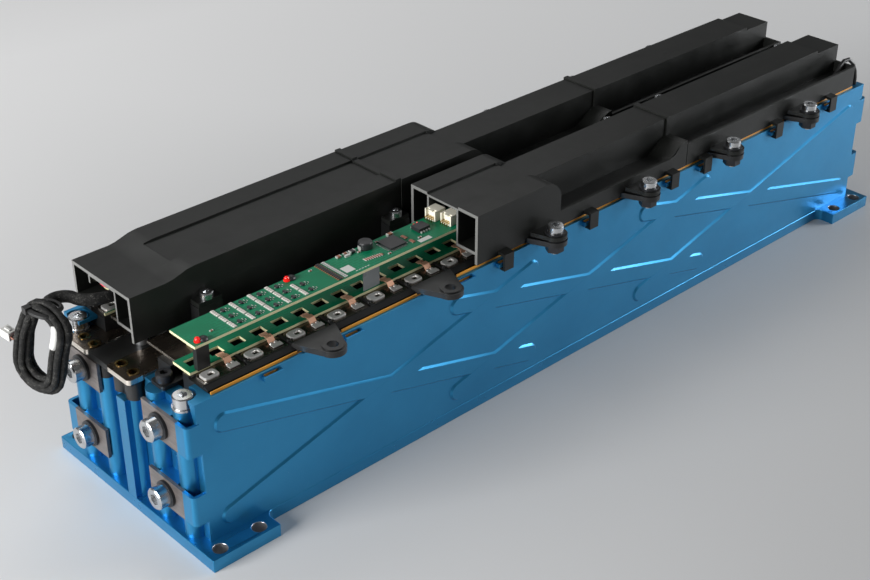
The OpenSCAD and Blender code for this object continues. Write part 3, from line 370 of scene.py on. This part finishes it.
# The material of each solid, by the start of its node's name; the first line that fits counts
FINISHES = [
    ("base_plate", "blue_base"), ("centre_plate", "blue"), ("side_plate", "blue_tabs"), ("end_block", "blue"),
    ("tab_screws", "screw"), ("column_screws", "screw"), ("cover_bolts", "screw"),
    ("tab_washers", "dark_metal"), ("carrier_screws", "dark_metal"), ("cover_washers", "dark_metal"),
    ("cover_nuts", "dark_metal"), ("floor_sheets", "pad"), ("end_pads", "pad"), ("cell_spacers", "pad"),
    ("cells", "can"), ("side_liner", "liner"), ("carrier", "carrier"), ("outer_bars", "bar"),
    ("inner_bars", "bar"), ("row_link", "bar"), ("terminal_discs", "disc"), ("sense_tabs", "copper"),
    ("sensing_board", "board"), ("control_board", "board"), ("board_standoffs", "carrier"),
    ("board_link", "flex"), ("microcontroller", "mcu"), ("capacitor", "chip"), ("driver_chips", "chip"),
    ("board_connectors", "cream"), ("resistor_strips", "ceramic"), ("status_leds", "led"),
    ("terminal_plate", "terminal"), ("terminal_inserts", "brass"), ("terminal_carrier", "carrier"),
    ("cover_", "cover"), ("harness_lead", "tape"), ("harness_coil", "tape"), ("harness_tie", "rubber"),
    ("harness", "white"), ("far_lead", "rubber")]

# Width of the rounded edges in millimetres, by the start of the node's name
ROUNDED = {
    "harness_tie": 1.0, "base_plate": 0.5, "centre_plate": 0.4, "side_plate": 0.25, "end_block": 0.4,
    "cover_left": 0.3, "cover_right": 0.3, "carrier_left": 0.2, "carrier_right": 0.2, "terminal_plate": 0.5,
    "outer_bars": 0.3, "terminal_carrier": 0.3, "control_board": 0.1, "board_standoffs": 0.3}
WELD_DISTANCE = 0.000002
SHARP_ANGLE = math.radians(38)


def finish_of(name):
    for key, mat in FINISHES:
        if name.startswith(key):
            return M[mat]
    raise ValueError(name)


def round_edges(ob, width):
    weld = ob.modifiers.new("weld", "WELD")
    weld.merge_threshold = WELD_DISTANCE
    bev = ob.modifiers.new("bevel", "BEVEL")
    bev.width = width * MM
    bev.segments = 2
    bev.limit_method = "ANGLE"
    bev.angle_limit = SHARP_ANGLE
    bev.use_clamp_overlap = True
    flat = ob.modifiers.new("flat", "WEIGHTED_NORMAL")
    flat.weight = 50


def dress_nodes():
    for name, ob in nodes.items():
        mat = finish_of(name)
        if not ob.material_slots:
            ob.data.materials.append(mat)
        for s in ob.material_slots:
            s.material = mat
        for key, width in ROUNDED.items():
            if name.startswith(key):
                round_edges(ob, width)
                break


# Mesh helpers

X_AXIS, Y_AXIS, Z_AXIS = Vector((1, 0, 0)), Vector((0, 1, 0)), Vector((0, 0, 1))


def add_mesh(name, bm, mat, smooth=True, replaces=()):
    me = bpy.data.meshes.new(name)
    bm.to_mesh(me)
    bm.free()
    me.materials.append(mat)
    if smooth:
        for p in me.polygons:
            p.use_smooth = True
    ob = bpy.data.objects.new(name, me)
    scene.collection.objects.link(ob)
    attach(ob, "root")
    if replaces:
        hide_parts(*replaces)
    return ob


def skin(bm, rings):
    """Faces between neighbouring rings of points, and one over each end."""
    for a, b in zip(rings, rings[1:]):
        for k in range(len(a)):
            after = (k + 1) % len(a)
            bm.faces.new((a[k], a[after], b[after], b[k]))
    bm.faces.new(list(reversed(rings[0])))
    bm.faces.new(rings[-1])


def sweep(bm, pts, r, sides):
    """A round tube along the points, with frames carried along so that it doesn't twist."""
    pts = [Vector(p) for p in pts]
    up = None
    rings = []
    for i, p in enumerate(pts):
        t = (pts[min(i + 1, len(pts) - 1)] - pts[max(i - 1, 0)]).normalized()
        if up is None:
            up = t.cross(Vector((0.2, 0.3, 1))).normalized()
        up = (up - t * up.dot(t)).normalized()
        side = t.cross(up)
        rings.append([bm.verts.new(p + r * (math.cos(a) * up + math.sin(a) * side))
                      for a in (2 * math.pi * k / sides for k in range(sides))])
    skin(bm, rings)


def smooth_path(pts, per):
    """Catmull-Rom through the points."""
    pts = [Vector(p) for p in pts]
    out = []
    for i in range(len(pts) - 1):
        a = pts[max(i - 1, 0)]
        b = pts[i]
        c = pts[i + 1]
        d = pts[min(i + 2, len(pts) - 1)]
        for k in range(per):
            t = k / per
            out.append(0.5 * ((2 * b) + (c - a) * t + (2 * a - 5 * b + 4 * c - d) * t * t
                              + (3 * b - a - 3 * c + d) * t ** 3))
    out.append(pts[-1])
    return out


def smoothstep(x):
    x = min(1.0, max(0.0, x))
    return x * x * (3 - 2 * x)


def put_box(bm, centre, ex, ey, ez, size):
    """A box of that size in millimetres along three axes."""
    made = bmesh.ops.create_cube(bm, size=1.0)["verts"]
    m = Matrix((ex * size[0] * MM, ey * size[1] * MM, ez * size[2] * MM)).transposed()
    for v in made:
        v.co = m @ v.co + centre


def soften(bm, width):
    bmesh.ops.recalc_face_normals(bm, faces=bm.faces)
    bmesh.ops.bevel(bm, geom=list(bm.edges), offset=width * MM, segments=2, profile=0.5, affect="EDGES",
                    clamp_overlap=True)


def block(bm, x, y, z, sx, sy, sz):
    """A box that stands on z, with its middle at x, y."""
    put_box(bm, MM * Vector((x, y, z + sz / 2)), X_AXIS, Y_AXIS, Z_AXIS, (sx, sy, sz))


def turned(bm, x, y, z, profile, sides=20):
    """A revolved solid standing on z; profile gives radius and height from the bottom up."""
    skin(bm, [[bm.verts.new(MM * Vector((x + r * math.cos(a), y + r * math.sin(a), z + h)))
               for a in (2 * math.pi * k / sides for k in range(sides))] for r, h in profile])


def ring_loop(bm, cx, cy, z, hx, hy):
    """A rounded rectangular loop of points at one height."""
    power, count = 4.0, 20
    out = []
    for k in range(count):
        a = 2 * math.pi * (k + 0.5) / count
        c, d = math.cos(a), math.sin(a)
        r = (abs(c) ** power + abs(d) ** power) ** (-1 / power)
        out.append(bm.verts.new(MM * Vector((cx + hx * r * c, cy + hy * r * d, z))))
    return out


# Harness: the free cord first, then the pieces on it, in millimetres

LEAD = [(-268, 25.4, 120.8), (-280, 24.8, 120.8), (-290, 24.3, 121), (-296, 24.8, 121.6), (-300.4, 26.2, 122),
        (-303.8, 28.9, 122), (-305.8, 32.8, 121.8), (-306.6, 36.7, 121.6), (-308.4, 39.5, 121.5),
        (-311.2, 41.4, 121.5), (-314.5, 42, 121.5), (-318.3, 41.1, 121.5)]
HANK_AT = (-326, 39, 97)
HANK_TURN = math.radians(-75)
HANK_TILT = math.radians(14)
# The tie's height over the hank's middle, and how far it draws the strands aside
TIE_W = 24.5
TIE_SHIFT = 5.5
# Below the tie the hank swings aside by SWING, reached over the height SWING_OVER
SWING = 4.6
SWING_OVER = 24.0
CORD_D = 3.8
SLEEVE_D = 6.8
# Points of the smoothed lead before the taped sleeve begins
BARE_LEAD = 4
# Half the straight height between the end bends of a turn
STRAIGHT = 14.2
# Each turn's end radius and its place through the hank's thickness, in the order they are wound
TURNS = [(14.2, 3.3), (10.7, 3.3), (9.3, 0), (10.7, -3.3), (12.6, 0), (14.2, -3.3), (16.0, 0)]
STEPS = 32
# Shares of a turn: where the first one starts and the last one ends, and where and over how much of each turn the
# cord moves on to the next
WIND_FROM = 0.15
WIND_TO = 0.74
MOVE_FROM = 0.86
MOVE_OVER = 0.14
# Points from the lead's end to the first turn: the turn-over in the part's frame, then points beside the hank
JOIN = [(-321.4, 39.1, 121.6), (-323.1, 36.0, 121.8), (-323.5, 32.6, 122.0), (-322.4, 29.4, 122.1)]
JOIN_HANK = [(14.0, 24.0, 1.6), (16.9, 21.1, 2.5), (18.0, 17.1, 3.1)]
# Loop of the tie: u, height over TIE_W, and n
TIE_LOOP = [(-6.6, 1.5, -5.6), (-6.9, 1.2, 0), (-6.6, 1.5, 5.6), (0, 2.0, 7.2), (6.6, 1.5, 5.6), (6.9, 1.2, 0),
            (6.6, 1.5, -5.6), (0, 2.0, -7.2), (-6.6, 1.5, -5.6)]


def hank_place(u, w, n):
    """A point beside the hank in metres: u across, w up and n toward the battery, in millimetres."""
    return MM * Vector((HANK_AT[0] + math.cos(HANK_TURN) * u - math.sin(HANK_TURN) * n,
                        HANK_AT[1] + math.sin(HANK_TURN) * u + math.cos(HANK_TURN) * n, HANK_AT[2] + w))


def hank_point(u, w, n):
    """A point of the hank itself, which leans and is drawn aside where the tie holds it."""
    dw = w - TIE_W
    free = smoothstep(-dw / SWING_OVER)
    u2 = u * math.cos(HANK_TILT) + (dw * math.sin(HANK_TILT) + SWING) * free + TIE_SHIFT * (1 - free)
    w2 = TIE_W - u * math.sin(HANK_TILT) * free + dw * math.cos(HANK_TILT)
    return hank_place(u2, w2, n)


def track(f, rad):
    """Place at share f of one turn round a racetrack, clockwise from the top, as u and w."""
    arc = math.pi * rad
    total = 2 * arc + 4 * STRAIGHT
    s = (f % 1.0) * total
    if s < arc / 2:
        return rad * math.sin(s / rad), STRAIGHT + rad * math.cos(s / rad)
    s -= arc / 2
    if s < 2 * STRAIGHT:
        return rad, STRAIGHT - s
    s -= 2 * STRAIGHT
    if s < arc:
        return rad * math.cos(s / rad), -STRAIGHT - rad * math.sin(s / rad)
    s -= arc
    if s < 2 * STRAIGHT:
        return -rad, -STRAIGHT + s
    s -= 2 * STRAIGHT
    return -rad * math.cos(s / rad), STRAIGHT + rad * math.sin(s / rad)


def coil_path():
    """The hank's turns as one line of points, each a little uneven."""
    out = []
    for t, (rad, n) in enumerate(TURNS):
        last = t == len(TURNS) - 1
        rad2, n2 = TURNS[t] if last else TURNS[t + 1]
        for k in range(STEPS):
            f = k / STEPS
            if t == 0 and f < WIND_FROM:
                continue
            if last and f > WIND_TO:
                break
            ease = smoothstep((f - MOVE_FROM) / MOVE_OVER)
            u, w = track(f, rad + (rad2 - rad) * ease)
            loose = math.sin(math.pi * f) ** 2
            wave = math.sin(2 * math.pi * (2 * f + 0.37 * t)) * loose
            depth = math.cos(2 * math.pi * (1.5 * f + 0.29 * t)) * loose
            out.append(hank_point(u * (1 + 0.022 * wave), w - 0.35 * wave, n + (n2 - n) * ease + 0.3 * depth))
    return out


def harness():
    lead = [Vector(p) * MM for p in smooth_path(LEAD, 3)]
    join = [Vector(p) * MM for p in JOIN] + [hank_place(*p) for p in JOIN_HANK]
    coil = coil_path()
    path = lead + join + coil
    bm = bmesh.new()
    sweep(bm, path, CORD_D / 2 * MM, 10)
    cord = add_mesh("harness_cord", bm, M["tape"], replaces=("harness_lead", "harness_coil"))
    bm = bmesh.new()
    sweep(bm, lead[BARE_LEAD:], SLEEVE_D / 2 * MM, 14)
    sleeve = add_mesh("harness_sleeve", bm, M["tape"])
    # White flag on one strand of the hank
    bm = bmesh.new()
    strand = [hank_point(10.6, 20.5 - 2.6 * k, -3.6) for k in range(6)]
    sweep(bm, strand, 2.4 * MM, 12)
    tag = add_mesh("harness_flag", bm, M["white"], replaces=("harness_tag",))
    # Slim tie at the top of the hank, with its lock on the near side
    bm = bmesh.new()
    tie_path = [hank_point(u, TIE_W + up, n) for u, up, n in TIE_LOOP]
    sweep(bm, smooth_path(tie_path, 5), 1.5 * MM, 8)
    put_box(bm, hank_point(-7.0, TIE_W + 2.0, -6.0), X_AXIS, Y_AXIS, Z_AXIS, (4, 4, 4))
    band = add_mesh("harness_band", bm, M["rubber"], smooth=False, replaces=("harness_tie",))
    with_pieces = [sleeve, tag, band] + connector(coil[-1], coil[-1] - coil[-2])


def connector(end, heading):
    """White plug on three short wires at the cord's end, leaving the hank at its left side."""
    centre = hank_point(-22.5, -4.5, -1.5)
    out = (centre - hank_point(-13.5, -4.5, -1.5)).normalized()
    side = out.cross(Z_AXIS).normalized()
    bm = bmesh.new()
    put_box(bm, centre, out, side, Z_AXIS, (6.6, 6.0, 4.8))
    put_box(bm, centre + out * 3.4 * MM, out, side, Z_AXIS, (1.0, 4.6, 3.4))
    put_box(bm, centre + Z_AXIS * 2.6 * MM, out, side, Z_AXIS, (4.0, 2.0, 0.9))
    soften(bm, 0.35)
    made = [add_mesh("harness_plug", bm, M["white"], smooth=False, replaces=("harness_connector",))]
    for name, mat, off in (("plug_wire_red", "red_wire", 1.5), ("plug_wire_dark", "rubber", 0.0),
                           ("plug_wire_brown", "brown_wire", -1.5)):
        bm = bmesh.new()
        tip = centre - out * 3.0 * MM + side * off * MM
        pts = [end, end + heading.normalized() * 2.2 * MM, tip - out * 2.6 * MM, tip]
        sweep(bm, smooth_path(pts, 5), 0.55 * MM, 8)
        made.append(add_mesh(name, bm, M[mat]))
    return made


# Parts on the boards, in millimetres; the open control board's face is at BOARD_Z

BOARD_Z = 117.0
STRIP_X = [-256.8, -244.7, -232.5, -220.6, -208.6]
STRIP_Y = [-23.6, -31.0, -38.4]


def strip_places():
    return [(x, y) for i, x in enumerate(STRIP_X) for j, y in enumerate(STRIP_Y) if i < 4 or j > 0]


# Small two-ended parts: x, y, length along X, width, height, and the material of the body
CHIPS = [(-170.2, -22.0, 2.6, 2.0, 1.1, "brown"), (-165.0, -21.6, 2.4, 1.4, 0.9, "brown"),
         (-165.8, -24.6, 2.8, 1.6, 1.3, "silver"), (-160.9, -22.8, 3.2, 2.6, 1.4, "black"),
         (-158.0, -25.4, 1.6, 1.0, 0.7, "brown"), (-155.9, -24.2, 1.6, 1.0, 0.7, "brown"),
         (-132.1, -22.6, 3.4, 2.2, 1.6, "brown"), (-127.4, -29.9, 1.7, 4.2, 0.6, "brown"),
         (-127.1, -36.4, 1.7, 3.8, 0.6, "brown"), (-121.0, -36.4, 1.8, 1.0, 0.7, "brown"),
         (-146.0, -38.4, 1.6, 1.0, 0.6, "brown"), (-143.0, -23.4, 1.6, 1.0, 0.6, "brown"),
         (-191.5, -23.0, 1.6, 1.0, 0.6, "brown"), (-268.2, -36.0, 1.6, 1.0, 0.6, "brown")]


def control_parts():
    black, silver, white, ceramic, brown = (bmesh.new() for _ in range(5))
    body = {"black": black, "silver": silver, "brown": brown}
    for x, y in strip_places():
        # Strip of four resistors, then its transistor and three marks
        for k in range(4):
            block(ceramic, x, y - 2.55 + 1.7 * k, BOARD_Z, 1.5, 1.25, 0.6)
        for k in (-1, 1):
            block(silver, x + 0.95 * k, y, BOARD_Z, 0.45, 6.6, 0.35)
        block(black, x + 4.6, y - 0.6, BOARD_Z + 0.1, 1.5, 2.9, 1.05)
        for dx, dy in ((1.1, -0.9), (1.1, 0.9), (-1.1, 0.0)):
            block(silver, x + 4.6 + dx, y - 0.6 + dy, BOARD_Z, 0.8, 0.45, 0.3)
        block(white, x + 7.6, y + 0.9, BOARD_Z, 0.5, 1.5, 0.03)
        block(white, x + 8.8, y - 0.4, BOARD_Z, 0.5, 1.2, 0.03)
        block(white, x + 7.4, y - 1.6, BOARD_Z, 0.5, 0.9, 0.03)
    for x, y, sx, sy, sz, kind in CHIPS:
        block(body[kind], x, y, BOARD_Z, sx, sy, sz)
        long_x = sx >= sy
        for k in (-1, 1):
            if long_x:
                block(silver, x + k * sx * 0.5, y, BOARD_Z, 0.5, sy * 1.02, sz * 1.03)
            else:
                for j in range(4):
                    block(silver, x + k * sx * 0.5, y + (j - 1.5) * sy * 0.26, BOARD_Z,
                          0.6, sy * 0.13, sz * 0.6)
    # Two rows across the board: small black parts with copper ends, and plated pads
    for j in range(14):
        y = -20.9 - 1.55 * j
        block(black, -184.8, y, BOARD_Z, 2.0, 1.2, 0.7)
        block(brown, -186.2, y, BOARD_Z, 0.9, 0.7, 0.35)
        block(brown, -183.4, y, BOARD_Z, 0.9, 0.7, 0.35)
        block(silver, -180.7, y, BOARD_Z, 2.2, 0.95, 0.4)
    # Long array of eight, two blank white labels and a line of marks
    for j in range(8):
        block(silver, -161.2 + 1.5 * j, -34.4 - 0.22 * j, BOARD_Z, 0.7, 3.0, 0.3)
        block(brown, -160.5 + 1.5 * j, -34.5 - 0.22 * j, BOARD_Z, 0.8, 1.9, 0.5)
    block(white, -174.6, -35.3, BOARD_Z, 6.4, 6.4, 0.05)
    block(white, -119.8, -39.3, BOARD_Z, 9.0, 3.4, 0.05)
    for j in range(5):
        block(white, -172.0 + 2.1 * j, -40.2, BOARD_Z, 1.4, 0.5, 0.03)
    # Drum inductor with its metal ends
    turned(black, -151.8, -23.9, BOARD_Z, [(4.0, 0), (4.3, 0.8), (4.3, 3.9), (3.9, 4.5), (0.2, 4.6)])
    for k in (-1, 1):
        block(silver, -151.8 + 4.3 * k, -23.9, BOARD_Z, 0.6, 2.6, 2.6)
    # Wide chip with four legs a side
    block(black, -113.6, -28.9, BOARD_Z + 0.3, 8.4, 7.2, 2.3)
    for j in range(4):
        for k in (-1, 1):
            block(silver, -116.6 + 2.0 * j, -28.9 + 4.2 * k, BOARD_Z, 0.7, 1.4, 1.1)
    # Two small lamps beside the wide chip
    lamps = bmesh.new()
    for x, y in ((-110.4, -22.6), (-113.4, -23.0)):
        turned(lamps, x, y, BOARD_Z, [(0.7, 0), (0.75, 0.5), (0.5, 1.0), (0.05, 1.15)], 12)
    # Two large lamps, and the black snap heads of the stand-offs beside them
    for x, y in ((-279.6, -39.6), (-207.6, -22.4)):
        turned(lamps, x, y, BOARD_Z,
               [(1.9, 0.2), (1.9, 0.7), (1.55, 0.9), (1.55, 1.9), (1.1, 2.7), (0.1, 3.1)], 16)
    for x, y in ((-276.2, -40.0), (-204.4, -22.2)):
        turned(black, x, y, BOARD_Z, [(2.7, 0.0), (2.7, 0.7), (2.2, 1.5), (0.9, 2.0), (0.1, 2.05)])
    done = [("board_black_parts", black, "chip", ("driver_chips", "capacitor"), "chip_black"),
            ("board_metal_parts", silver, "solder", (), "plain_steel"),
            ("board_print", white, "white", (), "white_plastic"),
            ("board_resistors", ceramic, "ceramic", ("resistor_strips",), "resistor_white"),
            ("board_brown_parts", brown, "brown_part", (), "copper"),
            ("board_lamps", lamps, "led", ("status_leds",), "led_red")]
    for name, bm, mat, gone, slot in done:
        add_mesh(name, bm, M[mat], smooth=False, replaces=gone)


# Outer bars of a row: how many, where the first cell begins, the pitch of the cells, the bars' top face and their
# middle line
BAR_COUNT = 20
ROW_START = -286
PITCH = 14.3
BAR_TOP = 99.5
OUTER_LINE = 46.7
# Outline of a folded tab's loops from the bar up: height, half sizes; then those of its window, down again
TAB_LOOPS = [(0, 4.9, 3.8), (0.7, 4.9, 3.8), (1.1, 4.5, 3.4)]
WINDOW_LOOPS = [(1.1, 2.2, 1.7), (0.15, 2.0, 1.5)]
WELD_DOT = [(1.2, 0), (1.0, 0.35), (0.05, 0.45)]


def fold_tabs():
    """Folded plated tab with its window on each outer bar, and the tongue under each copper strip."""
    bm, dark = bmesh.new(), bmesh.new()
    for side in (-1, 1):
        for i in range(BAR_COUNT):
            x = ROW_START + PITCH * (2 * i + 1) - PITCH / 2
            y = side * OUTER_LINE
            uneven = 0.4 * math.sin(2.1 * i + side)
            wx, wy = x + 0.9 + uneven, y + side * 0.3
            skin(bm, [ring_loop(bm, x, y, BAR_TOP + h, hx, hy) for h, hx, hy in TAB_LOOPS]
                 + [ring_loop(bm, wx, wy, BAR_TOP + h, hx, hy) for h, hx, hy in WINDOW_LOOPS])
            block(dark, wx, wy, BAR_TOP + 0.16, 3.4, 2.5, 0.1)
            block(bm, x + PITCH, y + side * 1.6, BAR_TOP + 0.41, 6.4, 3.4, 0.5)
            for dx in (-1.4, 1.4):
                turned(bm, x + PITCH + dx, y - side * 1.3, BAR_TOP + 0.4, WELD_DOT, 12)
    add_mesh("fold_tabs", bm, M["solder"], smooth=False, replaces=("terminal_discs",))
    add_mesh("fold_tab_windows", dark, M["bar"], smooth=False)


def mouth_plug():
    """White plug in the near end of the left cover, with thin leads down to the taped harness."""
    bm = bmesh.new()
    for x, size in ((-279.5, (8.0, 11.0, 5.0)), (-284.2, (2.0, 9.0, 3.4))):
        put_box(bm, MM * Vector((x, 34.2, 123.4)), X_AXIS, Y_AXIS, Z_AXIS, size)
    soften(bm, 0.35)
    add_mesh("mouth_plug", bm, M["white"], smooth=False)
    for k, mat in enumerate(("red_wire", "white", "red_wire", "white", "rubber")):
        bm = bmesh.new()
        y = 38.0 - 1.9 * k
        pts = [Vector(p) * MM for p in ((-284.8, y, 123.6), (-288.2, y - 0.3, 124.2),
                                        (-290.0 + 0.4 * k, 30.5 - 0.3 * k, 124.4), (-286.0, 26.0, 123.0))]
        sweep(bm, smooth_path(pts, 5), 0.6 * MM, 8)
        add_mesh("mouth_wire_%d" % (k + 1), bm, M[mat])


SOCKET_TURN = math.radians(4)
# Boxes of a socket and of one of its pins: place along, across and up, and size
SOCKET_BOXES = [(1.0, 0, 3.3, (7.0, 8.2, 6.6)), (-3.4, 3.7, 3.3, (2.4, 0.9, 6.6)),
                (-3.4, -3.7, 3.3, (2.4, 0.9, 6.6)), (-3.4, 0, 6.2, (2.4, 3.2, 0.8)),
                (-3.4, 0, 0.5, (2.4, 7.4, 1.0))]
PIN_BOXES = [(-4.6, 1.9, (3.4, 0.6, 0.6)), (-6.1, 1.0, (0.6, 0.6, 2.0))]


def board_plugs():
    """Two moulded sockets with a row of pins, their mouths toward the near end."""
    body, pins = bmesh.new(), bmesh.new()
    ex = Vector((math.cos(SOCKET_TURN), math.sin(SOCKET_TURN), 0))
    ey = Vector((-math.sin(SOCKET_TURN), math.cos(SOCKET_TURN), 0))
    for x, y in ((-97.6, -24.4), (-94.8, -34.8)):
        at = Vector((x, y, BOARD_Z)) * MM
        for dx, dy, dz, size in SOCKET_BOXES:
            put_box(body, at + MM * (ex * dx + ey * dy) + Vector((0, 0, dz * MM)), ex, ey, Z_AXIS, size)
        for k in range(4):
            for dx, dz, size in PIN_BOXES:
                put_box(pins, at + MM * (ex * dx + ey * (k - 1.5) * 1.7) + Vector((0, 0, dz * MM)),
                        ex, ey, Z_AXIS, size)
    soften(body, 0.25)
    add_mesh("board_sockets", body, M["cream"], smooth=False, replaces=("board_connectors",))
    add_mesh("board_socket_pins", pins, M["brass"], smooth=False)


# Light and floor

FLOOR_HALF = 6
WORLD_STRENGTH = 0.16
# Directions over the floor across and along the photograph's view
ACROSS = (0.73, -0.68)
AHEAD = (0.68, 0.73)


def area(name, at, to, size, power, color=(1, 1, 1)):
    data = bpy.data.lights.new(name, "AREA")
    data.shape = "RECTANGLE"
    data.size, data.size_y = size
    data.energy = power
    data.color = color
    ob = bpy.data.objects.new(name, data)
    scene.collection.objects.link(ob)
    ob.location = at
    ob.rotation_euler = (Vector(to) - Vector(at)).to_track_quat("-Z", "Y").to_euler()


def stage():
    """Grey floor, paler to the left and far side of the photograph's view, with a dim world and three lamps."""
    bm = bmesh.new()
    for sx, sy in ((-1, -1), (1, -1), (1, 1), (-1, 1)):
        bm.verts.new((sx * FLOOR_HALF, sy * FLOOR_HALF, 0.0))
    bm.faces.new(bm.verts)
    me = bpy.data.meshes.new("floor")
    bm.to_mesh(me)
    bm.free()
    m = Mat("floor_paper")
    x, y, _ = m.xyz()
    across, depth = (m.math("ADD", m.times(x, kx), m.times(y, ky)) for kx, ky in (ACROSS, AHEAD))
    # Painted light: the floor's grey is graded paler toward the left and the far side, in place of the lamps'
    # falloff
    painted_falloff = m.math("ADD", m.span(across, -0.5, 0.7, 0.60, 0.0), m.span(depth, 0.0, 0.9, 0.0, 0.55))
    painted_falloff = m.math("ADD", painted_falloff, m.times(m.noise(1.3, 2.0), 0.1))
    m.set(color=m.ramp(painted_falloff, [(0.0, rgb(146, 146, 146)), (0.9, rgb(242, 242, 242))]), rough=0.6)
    m.bump(m.noise(400.0, 2.0), 0.05, 0.0001)
    me.materials.append(m.m)
    ob = bpy.data.objects.new("floor", me)
    scene.collection.objects.link(ob)
    world = bpy.data.worlds.new("studio")
    scene.world = world
    world.use_nodes = True
    bg = world.node_tree.nodes["Background"]
    bg.inputs["Color"].default_value = (0.78, 0.79, 0.80, 1)
    bg.inputs["Strength"].default_value = WORLD_STRENGTH
    area("key_left", (-1.75, 0.1, 0.55), (-0.25, 0.0, 0.06), (1.0, 0.7), 50)
    area("top", (0.4, 1.1, 1.5), (0.1, 0.2, 0.1), (1.8, 1.0), 8)
    area("fill_right", (1.25, -0.8, 0.35), (0.3, -0.08, 0.06), (0.7, 0.5), 17, (0.96, 0.98, 1.0))
    scene.view_settings.view_transform = "Standard"


def main():
    make_camera()
    make_materials()
    dress_nodes()
    harness()
    control_parts()
    board_plugs()
    fold_tabs()
    mouth_plug()
    stage()


main()
